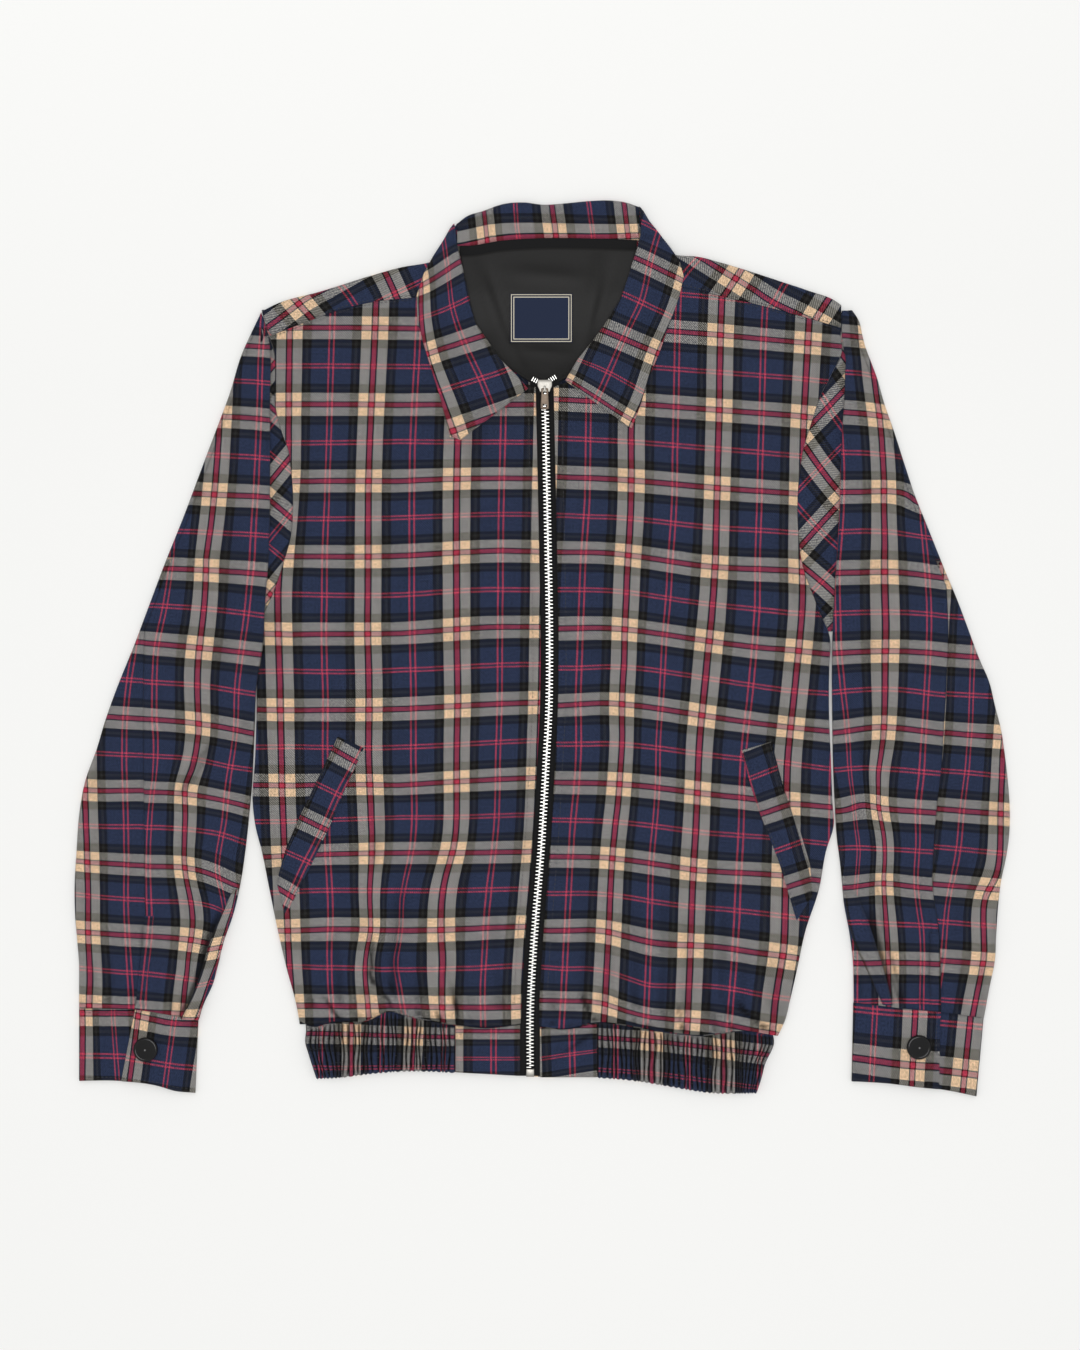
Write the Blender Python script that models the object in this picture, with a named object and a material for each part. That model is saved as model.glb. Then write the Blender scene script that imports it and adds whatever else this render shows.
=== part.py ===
"""Harrington jacket in checked twill, zipped up and laid flat on its back.

X runs across the jacket (the wearer's right sleeve is at -X), +Y points to the collar and +Z up, away
from the table. The table is z = 0 and the origin is under the middle of the jacket. Tables and sizes are
in millimetres. Each cloth piece is one closed wall: a grid of points on its outer face, and the same grid
moved in by the cloth.
"""

from collections import namedtuple
import math

import bmesh
import bpy
import numpy as np

MM = 0.001

# Driving sizes, in millimetres.
CLOTH = 1.6              # twill with its lining
COLLAR_CLOTH = 1.8       # collar, cuffs and waistband: two plies and an interlining
TRIM = 1.0               # welts, plackets, lining, neck tape and label
TAPE = 0.9               # zip tape
SEAM = 0.3               # gap between neighbours
FOLD_RADIUS = 1.95       # half the height of a folded edge
ROLL_RADIUS = 2.7        # half the height of the roll at the back of the collar
LIP = 9.0                # what a folded edge carries round to its underside
FREE_LIP = 14.0          # the same along the free part of a sleeve
BODY_LOFT = 2.4          # how far the fronts rise from their edges to their middle
SLEEVE_LOFT = 2.0
BAND_LOFT = 1.5
COLLAR_LIFT = 2.3        # the back neck lies on the back fall of the collar
LAID_ON = 0.45           # clearance under a piece sewn on top of a rounded panel
UNDERARM_Y = 12.0
# Heights at which the pieces on both sides of an armhole have their points, so that its seam stays even.
STATIONS = [
    244, 237, 222, 206, 188, 170, 153, 136, 118, 98, 78, 60, 46, 32, 22, 12, 0, -20, -48, -80, -115, -150,
    -185, -218,
    -246, -272,
]
FRONT_STATIONS = [-60, -120, -180, -230, -262, -285]   # the fronts' rows below the underarm

ZIP_HALF_OPENING = 7.2   # from the zip's middle to each front edge
CHAIN_HALF_WIDTH = 3.3
CHAIN_LOW, CHAIN_HIGH = 2.5, 4.9
CHAIN_TOP_Y, CHAIN_BOTTOM_Y = 214.5, -335.0
TAPE_REACH = 11.6        # from the zip's middle to the hidden edge of its tape
BUTTON_SEGMENTS = 18
POINT_DROP = 0.2         # how far the middle of a turned piece's top lies below its last ring
RIB_PITCH = 3.8
RIB_HEIGHT = 0.9
GATHER_PITCH = 20.0
GATHER_HEIGHT = 1.0
GATHERED_Y = -280.0      # where the gathers above the waistband are counted
MIDDLE_AT_WAIST = -10.0

# Slider and pull tab: the tab turns about a line along X through PULL_PIN.
SLIDER_X = 2.2
PULL_PIN_Y, PULL_PIN_Z = 207.5, 8.0
PULL_SLOPE = math.radians(6.0)
SLIDER_ACROSS = [-5.9, -0.8, 0.8, 5.9]
SLIDER_ALONG = [-2.5, -2.15, -1.15, 1.15, 2.15, 4.6, 7.3]
SLIDER_LEGS = (-2.15, 1.15)
SLIDER_UP = [5.5, 6.9, 9.2, 10.2]
SLIDER_FOOT_SHARE = 0.62   # width of the slider's foot against its head
PULL_ACROSS = [-3.4, -1.5, 1.5, 3.4]
PULL_ALONG = [-16.6, -14.8, -12.4, -4.2, -0.55, 0.55]
PULL_UP = [-0.55, 0.55]
ZIP_BOX_BOTTOM_Y, ZIP_BOX_RISE = -341.6, 0.3
TAPE_TOP_Y, TAPE_BOTTOM_Y = 214.0, -341.0

Section = namedtuple("Section", "y outer inner lift")
Side = namedtuple("Side", "y right left")
Point = namedtuple("Point", "x y")
CrossRow = namedtuple("CrossRow", "from_x from_y to_x to_y")
Fold = namedtuple("Fold", "x0 y0 x1 y1 width height")
Turn = namedtuple("Turn", "radius height")

# Sleeves, from the shoulder to the cuff: the outer edge, the folded edge by the body, and how high the
# underside of that edge lies, where it covers the armhole and the side of the body.
SLEEVE_RIGHT = [
    Section(270, -224, -219.6, 0.0),
    Section(252, -232.6, -218.9, 0.3),
    Section(238, -239, -216.8, 4.0),
    Section(203, -250, -217.0, 4.0),
    Section(171, -262, -217.0, 4.0),
    Section(139, -274, -217.0, 4.0),
    Section(107, -286, -217.2, 4.0),
    Section(67, -302, -218.6, 4.0),
    Section(35, -314, -221.0, 4.6),
    Section(3, -326, -222.6, 5.0),
    Section(-33, -340.5, -228.0, 4.6),
    Section(-60, -350, -229.4, 1.5),
    Section(-77, -355, -230.2, 0.0),
    Section(-109, -366, -231.8, 0.0),
    Section(-133, -370, -234.0, 0.0),
    Section(-161, -372, -237.0, 0.0),
    Section(-190, -373.6, -241.5, 0.0),
    Section(-213, -373.2, -247.0, 0.0),
    Section(-233, -371.5, -254.0, 0.0),
    Section(-253, -370, -259.0, 0.0),
    Section(-269, -370, -263.5, 0.0),
    Section(-283, -370, -270.0, 0.0),
    Section(-297, -370, -274.5, 0.0),
]
SLEEVE_LEFT = [
    Section(272, 247, 239.6, 0.0),
    Section(263, 253, 239.5, 0.0),
    Section(251, 256, 239.4, 0.0),
    Section(243, 258, 240.4, 0.3),
    Section(232, 262, 242.2, 4.0),
    Section(219, 267, 241.8, 4.0),
    Section(195, 274, 241.0, 4.0),
    Section(175, 281, 239.6, 4.0),
    Section(147, 290, 238.4, 4.0),
    Section(123, 298, 237.6, 4.0),
    Section(103, 306, 237.0, 4.0),
    Section(83, 314, 235.8, 4.0),
    Section(63, 322, 234.6, 4.0),
    Section(39, 332, 233.0, 4.6),
    Section(15, 341, 231.8, 5.0),
    Section(-9, 350, 231.2, 5.0),
    Section(-25, 357, 231.2, 4.6),
    Section(-45, 362, 231.6, 2.5),
    Section(-65, 367, 232.0, 0.5),
    Section(-85, 370, 232.4, 0.0),
    Section(-113, 373, 233.4, 0.0),
    Section(-133, 374, 234.4, 0.0),
    Section(-153, 373, 235.8, 0.0),
    Section(-169, 370.5, 238.0, 0.0),
    Section(-185, 367, 239.6, 0.0),
    Section(-201, 365, 241.0, 0.0),
    Section(-229, 363, 246.0, 0.0),
    Section(-249, 362, 248.4, 0.0),
    Section(-269, 358, 249.0, 0.0),
    Section(-296, 353, 249.0, 0.0),
]
SLEEVE_TOP_RIGHT = [Point(-224.4, 269.0), Point(-221.6, 260.0), Point(-218.9, 252.0)]
SLEEVE_TOP_LEFT = [Point(247.6, 270.6), Point(239.6, 270.2)]
# The seam between the front and the back sleeve, which shows once it leaves the outer edge.
BACK_SEAM_RIGHT = [
    Point(-317, 40), Point(-318, 0), Point(-318, -100), Point(-317.5, -200), Point(-316, -297),
]
BACK_SEAM_LEFT = [
    Point(323, 59), Point(325, 9), Point(323, -38), Point(319, -98), Point(313, -152), Point(311, -190),
    Point(316, -230), Point(318, -297),
]
SEAM_LEAST_INSET = 4.0   # the back seam stays this far inside the outer edge
# Armholes and sides of the body, as far as the waistband.
BODY_SIDES = [
    Side(270, -223.7, 239.0),
    Side(250, -218.2, 238.6),
    Side(239, -214.2, 239.6),
    Side(219, -212.8, 231.0),
    Side(199, -213.3, 221.0),
    Side(187, -211.5, 217.0),
    Side(171, -207.0, 212.0),
    Side(159, -202.6, 208.5),
    Side(143, -200.3, 206.0),
    Side(127, -199.0, 204.4),
    Side(107, -199.0, 204.0),
    Side(91, -200.4, 204.8),
    Side(67, -207.0, 208.0),
    Side(39, -217.0, 218.0),
    Side(24, -224.0, 224.0),
    Side(12, -227.5, 229.3),
    Side(3, -228.0, 230.6),
    Side(-9, -227.8, 229.8),
    Side(-41, -227.9, 229.2),
    Side(-89, -229.3, 230.8),
    Side(-121, -231.2, 232.0),
    Side(-141, -229.0, 233.0),
    Side(-161, -224.0, 227.0),
    Side(-193, -217.5, 221.0),
    Side(-225, -211.0, 210.5),
    Side(-257, -203.5, 203.5),
    Side(-281, -197.0, 198.0),
    Side(-297, -194.0, 194.0),
    Side(-310, -193.0, 188.0),
]
ZIP_LINE = [
    Point(2.0, 214), Point(3.2, 159), Point(5.0, 71), Point(6.0, 7), Point(5.4, -50), Point(3.4, -89),
    Point(-0.8, -161), Point(-4.2, -204), Point(-7.2, -245), Point(-9.4, -290), Point(-9.4, -342),
]
# Shoulder folds, the seams at the front of the yokes, and the neck edges of the fronts under the collar.
SHOULDER = {
    "R": [
        Point(-223.7, 270), Point(-214, 275), Point(-178, 285.5), Point(-138, 298), Point(-114, 304.5),
        Point(-89, 309), Point(-78, 313),
    ],
    "L": [
        Point(94, 317), Point(108, 314.4), Point(126, 313), Point(142, 309), Point(190, 294),
        Point(214, 286),
        Point(234, 278.5), Point(239, 275),
    ],
}
YOKE_SEAM = {
    "R": [
        Point(-217.8, 250.2), Point(-194, 259), Point(-154, 273), Point(-130, 278), Point(-99, 281),
        Point(-68, 287.6),
        Point(-66, 288),
    ],
    "L": [
        Point(80, 294), Point(82, 293.8), Point(111, 289), Point(142, 282), Point(174, 274.5),
        Point(206, 266),
        Point(238, 257),
    ],
}
YOKE_NECK_END = {"R": [Point(-78, 313), Point(-66, 288)], "L": [Point(94, 317), Point(80, 294)]}
NECK = {
    "R": [
        Point(-65, 287), Point(-64, 285), Point(-61, 279), Point(-57, 264), Point(-49, 252), Point(-42, 240),
        Point(-32, 227), Point(-22, 217), Point(-5.4, 209),
    ],
    "L": [
        Point(9.2, 209), Point(24, 216), Point(35, 228), Point(46, 242), Point(55, 255), Point(66, 274),
        Point(73, 286), Point(78, 292.4),
    ],
}
BACK_TOP = [
    Point(-220.8, 260), Point(-214, 264.4), Point(-178, 275), Point(-138, 287.4), Point(-114, 294),
    Point(-89, 298.4),
    Point(-80, 301), Point(-73.5, 303), Point(-64, 315), Point(-50, 322), Point(-30, 325.6), Point(0, 327),
    Point(39, 327),
    Point(62, 325.6), Point(78, 317), Point(87, 308.4), Point(96, 305.4), Point(108, 303.8),
    Point(126, 302.4), Point(142, 298.2),
    Point(190, 283.2), Point(214, 275.2), Point(234, 267.6), Point(238.7, 260),
]
# The seam between the body and the waistband, and the hem.
WAIST = [
    Point(-194, -298), Point(-186, -301.5), Point(-164, -298), Point(-142, -298), Point(-122, -290),
    Point(-106, -294),
    Point(-86, -298), Point(-69, -301), Point(-42, -303), Point(-17, -300), Point(-3, -302), Point(19, -304),
    Point(43, -299), Point(78, -303), Point(102, -307), Point(126, -309), Point(162, -306), Point(188, -310),
]
BACK_WAIST = [Point(-194, -300), Point(192, -300)]
BACK_COLUMNS = [
    -223.7, -184, -144, -132, -120, -108, -98, -89, -80, -73.5, -64, -48, -24, 8, 39, 62, 78, 87, 96,
    108, 120, 132, 144, 156, 198, 239,
]
HEM = [
    Point(-180, -343), Point(-162, -342), Point(-138, -339), Point(-114, -337), Point(-90, -337),
    Point(-70, -338),
    Point(-16, -341), Point(-2, -342), Point(44, -342), Point(78, -345), Point(102, -349), Point(134, -354),
    Point(172, -354.5),
]
BAND_SIDES = [
    Side(-297, -193.6, 188.0), Side(-310, -191.0, 187.0), Side(-322, -187.0, 183.0),
    Side(-330, -184.5, 179.0),
    Side(-343, -180.5, 175.5), Side(-355, -178.0, 171.5),
]
BAND_TAB_ENDS = {"R": (-69.0, -17.6), "L": (-1.6, 44.0)}
# Collar: the back roll and neck seam, then rows across each leaf from its roll to its free edge.
BACK_ROLL = [
    Point(-68, 340), Point(-62, 344), Point(-46, 350), Point(-30, 355.6), Point(-14, 356.8), Point(1, 355),
    Point(18, 356), Point(39, 358), Point(53, 358.4), Point(67, 356.6), Point(78, 353),
]
NECK_SEAM = [
    Point(-68, 322), Point(-55, 322.4), Point(-37, 325.6), Point(-6, 328), Point(39, 328), Point(78, 326.6),
]
STAND_ENDS = (-67.6, 77.6)
BACK_FALL_EDGE = [Point(-88, 296), Point(-60, 292), Point(70, 292), Point(108, 298)]
BACK_FALL_SIDES = [
    Side(359, -66, 76), Side(340, -68.4, 83), Side(334, -73, 88), Side(326, -77.4, 93.6),
    Side(312, -85.6, 105),
    Side(292, -92, 112),
]
LEAF = {
    "R": [
        CrossRow(-68.4, 334, -77, 328.4),
        CrossRow(-68.2, 327, -81.6, 322),
        CrossRow(-67, 319, -87, 313),
        CrossRow(-64, 307, -94, 300),
        CrossRow(-60, 291, -100, 282),
        CrossRow(-57, 275, -99.4, 263),
        CrossRow(-52.4, 259, -95, 245),
        CrossRow(-43, 245.6, -88, 222),
        CrossRow(-34, 232, -81, 200),
        CrossRow(-22, 220, -73.6, 169.4),
        CrossRow(-11, 207.6, -65, 167),
    ],
    "L": [
        CrossRow(78.6, 347, 84.6, 343),
        CrossRow(78.8, 340, 91, 335.6),
        CrossRow(78.6, 331, 98.6, 325.4),
        CrossRow(76, 320, 109.6, 309.6),
        CrossRow(72, 308, 113, 297),
        CrossRow(68, 295, 109.4, 281),
        CrossRow(62.4, 279, 102.6, 262),
        CrossRow(51, 260.6, 94, 237),
        CrossRow(39.6, 245, 85, 216),
        CrossRow(28.6, 231.4, 78.4, 194),
        CrossRow(18.4, 214, 71.6, 176),
    ],
}
LEAF_RADIUS = 2.05
LEAF_LEAVES_SHOULDER_Y = {"R": 313.0, "L": 318.0}
NECK_TAPE_WIDTH = 8.0
NECK_TAPE_ENDS = (-63.0, 73.0)
LINING_SIDES = [
    Side(322, -63.0, 73.0), Side(300, -62.6, 71.0), Side(285, -61.0, 67.6), Side(272, -57.4, 62.0),
    Side(260, -53.0, 55.6), Side(248, -45.0, 47.6), Side(236, -36.8, 38.0), Side(226, -27.4, 30.0),
    Side(215, -13.0, 18.0),
]
LINING_BOTTOM_Y = 217.0
LABEL_ENDS = (-25.6, 24.5)
LABEL_TOP_Y, LABEL_BOTTOM_Y = 283.8, 244.4
# Pocket welts, in rows down the welt from its outer long edge to the one towards the zip.
WELT = {
    "R": [
        CrossRow(-163, -70, -142, -79), CrossRow(-178, -102, -156, -109), CrossRow(-194, -135, -170, -143),
        CrossRow(-204.6, -160, -186, -176), CrossRow(-212, -186, -205, -214),
    ],
    "L": [
        CrossRow(183, -74, 159, -81), CrossRow(193, -112, 168, -114), CrossRow(204.6, -141, 178, -142),
        CrossRow(214, -172, 188.4, -168), CrossRow(216, -197, 203.4, -217),
    ],
}
# Cuffs: the seam to the sleeve, the bottom, the two folded edges, and the end of the overlap.
CUFF_TOP = {
    "R": [
        Point(-370, -287.3), Point(-345, -287.6), Point(-323, -288.4), Point(-300, -292),
        Point(-274.5, -297.2),
    ],
    "L": [Point(353, -295.2), Point(319, -290.2), Point(286, -287), Point(249, -282.6)],
}
CUFF_BOTTOM = {
    "R": [Point(-370, -345), Point(-339, -345), Point(-306, -349), Point(-293, -353), Point(-277, -354.6)],
    "L": [
        Point(347.4, -357.4), Point(317, -351.6), Point(301, -350), Point(277, -347), Point(247.4, -345.4),
    ],
}
CUFF_SIDES = {
    "R": ([Point(-370, -280), Point(-370, -360)], [Point(-274.3, -290), Point(-277, -355)]),
    "L": ([Point(353.4, -290), Point(347.2, -358)], [Point(248.8, -280), Point(247.4, -346)]),
}
CUFF_OVERLAP_END = {"R": (-325.0, -336.0), "L": (318.4, 317.0)}
CUFF_UNDERLAP = 26.0
CUFF_STEP = 2.3          # how far the overlap rises to lie on the underlap
BUTTONS = {"R": Point(-316, -319.4), "L": Point(300.4, -317.6)}
BUTTON_PROFILE = [
    Turn(7.4, 0.0), Turn(9.2, 1.0), Turn(9.8, 2.4), Turn(9.3, 3.8), Turn(8.2, 4.4), Turn(6.9, 3.9),
    Turn(5.9, 3.1),
]
# Ends of the bound slit in each sleeve, which runs down to the end of the cuff's overlap.
PLACKETS = {
    "R": (Point(-313.2, -213.0), Point(-320.6, -283.0)),
    "L": (Point(313.4, -226.0), Point(313.4, -284.0)),
}
PLACKET_WIDTH = 7.0

# The largest folds: a soft ridge (height above 0) or trough (below 0) along a line.
SLEEVE_FOLDS = [
    Fold(-238, 120, -262, -60, 16, -0.7),
    Fold(-270, 60, -296, -70, 22, 0.7),
    Fold(-270, -76, -286, -113, 12, -1.1),
    Fold(-306, -120, -330, -240, 24, 0.7),
    Fold(-270, -190, -279, -262, 9, -1.4),
    Fold(-258, -208, -287, -296, 9, 1.0),
    Fold(-338, -190, -346, -290, 20, -0.8),
    Fold(262, -140, 268, -286, 9, -1.4),
    Fold(246, -204, 284, -290, 12, 1.0),
    Fold(280, 60, 300, -80, 22, 0.7),
    Fold(256, 120, 262, -60, 16, -0.7),
    Fold(300, -110, 296, -250, 26, 0.6),
    Fold(340, -150, 336, -290, 18, -0.8),
]
BODY_FOLDS = [
    Fold(-170, 230, -186, -30, 34, 0.5),
    Fold(-120, 150, -112, -120, 40, -0.5),
    Fold(-70, 60, -60, -250, 34, 0.5),
    Fold(-150, -120, -130, -284, 26, -0.6),
    Fold(-34, 160, -26, -180, 30, -0.4),
    Fold(60, 170, 52, -200, 40, 0.5),
    Fold(110, 200, 120, -150, 34, -0.5),
    Fold(176, 200, 190, -40, 30, 0.5),
    Fold(140, -140, 120, -290, 28, -0.6),
    Fold(86, -150, 80, -290, 26, 0.5),
]

UP = np.array([0.0, 0.0, 1.0])
CURL = [math.radians(angle) for angle in (-90, -45, 0, 45, 90)]
SLEEVE_SECTIONS = {"R": SLEEVE_RIGHT, "L": SLEEVE_LEFT}
SLEEVE_TOP = {"R": SLEEVE_TOP_RIGHT, "L": SLEEVE_TOP_LEFT}
SLEEVE_LAPS_BELOW = {"R": 236.0, "L": 230.0}   # from here down the sleeve folds over its armhole
BACK_SEAM = {"R": BACK_SEAM_RIGHT, "L": BACK_SEAM_LEFT}
OVER_SIDE = 6.5          # how far a free sleeve's underside still lies on the side of the body
TURN_TOP_Y = 222.0
LEAF_CLEARANCE = 0.7     # between a collar leaf and the front below it
FLAT_UNDERLAP = 3.0      # past the underlap's end the overlap lies down over it


def step(t):
    """0 below t = 0, 1 above t = 1, and a smooth rise between."""
    t = np.clip(t, 0.0, 1.0)
    return t * t * (3 - 2 * t)


def follow(rows, along, across, at):
    """Column `across` of a table, read smoothly at values of its column `along`."""
    ordered = sorted(rows, key=lambda row: getattr(row, along))
    keys = np.array([getattr(row, along) for row in ordered], float)
    values = np.array([getattr(row, across) for row in ordered], float)
    slopes = np.gradient(values, keys)
    at = np.clip(np.asarray(at, float), keys[0], keys[-1])
    i = np.clip(np.searchsorted(keys, at, side="right") - 1, 0, len(keys) - 2)
    gap = keys[i + 1] - keys[i]
    t = (at - keys[i]) / gap
    return (
        values[i] * (1 + 2 * t) * (1 - t) ** 2
        + values[i + 1] * t * t * (3 - 2 * t)
        + slopes[i] * gap * t * (1 - t) ** 2
        - slopes[i + 1] * gap * t * t * (1 - t)
    )


def folds_at(folds, x, y):
    """Height that the folds add at points seen from above."""
    total = np.zeros(np.broadcast(x, y).shape)
    for fold in folds:
        run_x, run_y = fold.x1 - fold.x0, fold.y1 - fold.y0
        length = math.hypot(run_x, run_y)
        along = ((x - fold.x0) * run_x + (y - fold.y0) * run_y) / length
        off = ((x - fold.x0) * run_y - (y - fold.y0) * run_x) / length
        fade = step((along + 20) / 40) * step((length + 20 - along) / 40)
        total = total + fold.height * fade * np.exp(-2 * (off / fold.width) ** 2)
    return total


class Panel:
    """A flat shape seen from above. u runs from its first side (0) to its second (1), v from its top to its
    bottom. The sides give x at a height y. The top and bottom are lines of points, in either order."""

    def __init__(self, first, second, top, bottom):
        self.first, self.second = first, second
        self.top, self.bottom = self.by_share(top), self.by_share(bottom)

    def share(self, x, y):
        low, high = self.first(y), self.second(y)
        return float((x - low) / (high - low))

    def by_share(self, points):
        return [Point(self.share(point.x, point.y), point.y) for point in points]

    def at(self, u, v):
        u, v = np.broadcast_arrays(np.asarray(u, float), np.asarray(v, float))
        y = (1 - v) * follow(self.top, "x", "y", u) + v * follow(self.bottom, "x", "y", u)
        low, high = self.first(y), self.second(y)
        return low + (high - low) * u, y

    def rows_through(self, u, stations):
        """The rows whose ends at u fall on the given heights, with the first and the last row."""
        top, bottom = float(self.at(u, 0.0)[1]), float(self.at(u, 1.0)[1])
        inside = [(top - y) / (top - bottom) for y in stations if bottom + 4 < y < top - 4]
        return np.array([0.0] + inside + [1.0])

    def row(self, v):
        """The first end, the unit direction to the second end and the length of the row at v."""
        x, y = self.at(np.array([0.0, 1.0]), v)
        length = math.hypot(x[1] - x[0], y[1] - y[0])
        return np.array([(x[1] - x[0]) / length, (y[1] - y[0]) / length, 0.0]), length


def reader(rows, column, along="y"):
    return lambda at: follow(rows, along, column, at)


def at_x(x):
    """A straight side of a panel at one x."""
    return lambda y: np.full(np.shape(y), float(x))


def moved(points, distance):
    """The same line of points, further from the collar by a distance."""
    return [Point(point.x, point.y - distance) for point in points]


def make_object(name, points, faces, finish):
    """One mesh object from points in millimetres, with its faces turned outwards."""
    mesh = bpy.data.meshes.new(name)
    mesh.from_pydata([tuple(p) for p in np.asarray(points) * MM], [], faces)
    work = bmesh.new()
    work.from_mesh(mesh)
    bmesh.ops.recalc_face_normals(work, faces=work.faces)
    work.to_mesh(mesh)
    work.free()
    mesh.materials.append(finish)
    mesh.shade_smooth()
    mesh.set_sharp_from_angle(angle=math.radians(40))
    thing = bpy.data.objects.new(name, mesh)
    bpy.context.scene.collection.objects.link(thing)
    return thing


def wall(name, outer, inner, finish):
    """A closed wall between two grids of points."""
    count_u, count_v = outer.shape[:2]
    half = count_u * count_v

    def at(i, j, face):
        return face * half + i * count_v + j

    faces = []
    for i in range(count_u - 1):
        for j in range(count_v - 1):
            faces.append((at(i, j, 0), at(i + 1, j, 0), at(i + 1, j + 1, 0), at(i, j + 1, 0)))
            faces.append((at(i, j, 1), at(i, j + 1, 1), at(i + 1, j + 1, 1), at(i + 1, j, 1)))
    for i in range(count_u - 1):
        for j in (0, count_v - 1):
            faces.append((at(i, j, 0), at(i, j, 1), at(i + 1, j, 1), at(i + 1, j, 0)))
    for j in range(count_v - 1):
        for i in (0, count_u - 1):
            faces.append((at(i, j, 0), at(i, j + 1, 0), at(i, j + 1, 1), at(i, j, 1)))
    points = np.concatenate([outer.reshape(-1, 3), inner.reshape(-1, 3)])
    return make_object(name, points, faces, finish)


def slab(name, panel, columns, rows, top_height, thickness, finish):
    """A panel as a wall whose top face follows a height over the table."""
    u, v = np.meshgrid(columns, rows, indexing="ij")
    x, y = panel.at(u, v)
    z = top_height(x, y)
    outer = np.stack([x, y, z], axis=-1)
    inner = np.stack([x, y, z - thickness], axis=-1)
    return wall(name, outer, inner, finish)


class Strip:
    """Points along one section of a folded piece, each with the direction its outer face looks in."""

    def __init__(self, thickness):
        self.thickness = thickness
        self.points, self.normals = [], []

    def add(self, x, y, z, normal):
        self.points.append((float(x), float(y), float(z)))
        self.normals.append(np.asarray(normal, float))

    def faces(self):
        outer = np.array(self.points)
        return outer, outer - np.array(self.normals) * self.thickness


def wall_of_strips(name, strips, finish):
    grids = [strip.faces() for strip in strips]
    outer = np.stack([grid[0] for grid in grids], axis=1)
    inner = np.stack([grid[1] for grid in grids], axis=1)
    return wall(name, outer, inner, finish)


def curl_normal(outward, angle):
    return outward * math.cos(angle) + UP * math.sin(angle)


def shares(count, first=0.0, last=1.0):
    return np.linspace(first, last, count)


def finish(name, colour, roughness, metallic=0.0):
    material = bpy.data.materials.new(name)
    material.use_nodes = True
    shader = material.node_tree.nodes["Principled BSDF"]
    shader.inputs["Base Color"].default_value = (*colour, 1.0)
    shader.inputs["Roughness"].default_value = roughness
    shader.inputs["Metallic"].default_value = metallic
    return material


def collar_lift(x, y):
    """How far the back fall of the collar lifts what lies on it."""
    return COLLAR_LIFT * step((y - 248) / 40) * step((x + 138) / 40) * step((156 - x) / 40)


def body_top(x, y):
    """Height of the outer face of the fronts and yokes. The collar presses the cloth flat round the neck."""
    from_right = x - follow(BODY_SIDES, "y", "right", y)
    from_left = follow(BODY_SIDES, "y", "left", y) - x
    inside = np.minimum(from_right, from_left)
    off_middle = np.abs(x)
    pressed = step((y - 120) / 80) * step((150 - off_middle) / 60) * step((off_middle - 12) / 24)
    loft = step(inside / 30) * (1 - 0.8 * pressed)
    return 2 * CLOTH + SEAM + (BODY_LOFT + folds_at(BODY_FOLDS, x, y)) * loft + collar_lift(x, y)


def body_side(hand):
    return reader(BODY_SIDES, "right" if hand == "R" else "left")


def toward_zip(hand):
    """1 where going inwards from a side of the body raises x, and -1 where it lowers x."""
    return 1 if hand == "R" else -1


def front(hand, twill):
    """A front: its top ends at the yoke and the neck, and its bottom is eased into the waistband."""
    inwards = toward_zip(hand)

    def edge(y):
        return follow(ZIP_LINE, "y", "x", y) - inwards * ZIP_HALF_OPENING

    top = moved(YOKE_SEAM[hand], SEAM) + NECK[hand]
    waist = moved([point for point in WAIST if (point.x - MIDDLE_AT_WAIST) * inwards < 0], -3 * SEAM)
    panel = Panel(body_side(hand), edge, top, waist)
    width = float(np.abs(panel.first(GATHERED_Y) - panel.second(GATHERED_Y)))
    count = 2 * int(round(width / GATHER_PITCH)) + 2
    stations = [y for y in STATIONS if y > UNDERARM_Y - 20] + FRONT_STATIONS
    u, v = np.meshgrid(shares(count), panel.rows_through(0.0, stations), indexing="ij")
    x, y = panel.at(u, v)
    near = step((v - 0.78) / 0.2) * step((1.04 - v) / 0.06)
    wave = np.where(np.arange(count) % 2 == 0, 0.0, GATHER_HEIGHT)[:, None]
    inside = step(u / 0.06) * step((1 - u) / 0.03)
    z = body_top(x, y) + wave * near * inside
    outer = np.stack([x, y, z], axis=-1)
    return wall("front_" + hand, outer, outer - UP * CLOTH, twill)


def back(twill):
    """The back, flat on the table but for its neck, which lies on the collar's back fall."""
    panel = Panel(body_side("R"), body_side("L"), BACK_TOP, BACK_WAIST)
    columns = (np.array(BACK_COLUMNS) - BACK_COLUMNS[0]) / (BACK_COLUMNS[-1] - BACK_COLUMNS[0])
    rows = panel.rows_through(0.0, [250] + STATIONS)
    return slab("back", panel, columns, rows, lambda x, y: collar_lift(x, y) + CLOTH, CLOTH, twill)


def yoke(hand, twill):
    """A shoulder yoke, from its front seam over the shoulder fold to the top of the back."""
    panel = Panel(body_side(hand), reader(YOKE_NECK_END[hand], "x"), SHOULDER[hand], YOKE_SEAM[hand])
    strips = []
    for u in shares(11):
        x, y = panel.at(u, np.array([0.0, 1.0]))
        depth = math.hypot(x[1] - x[0], y[1] - y[0])
        outward = np.array([x[0] - x[1], y[0] - y[1], 0.0]) / depth
        base = float(collar_lift(x[0], y[0]))
        strip = Strip(CLOTH)
        for offset in (LIP, (LIP + FOLD_RADIUS) / 2):
            strip.add(*panel.at(u, offset / depth), base, -UP)
        for angle in CURL:
            point = panel.at(u, FOLD_RADIUS * (1 - math.cos(angle)) / depth)
            strip.add(*point, base + FOLD_RADIUS * (1 + math.sin(angle)), curl_normal(outward, angle))
        for v in (0.3, 0.55, 0.8, 1.0):
            px, py = panel.at(u, v)
            blend = step(v * depth / 22)
            strip.add(px, py, (base + 2 * FOLD_RADIUS) * (1 - blend) + body_top(px, py) * blend, UP)
        strips.append(strip)
    return wall_of_strips("yoke_" + hand, strips, twill)


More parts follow.
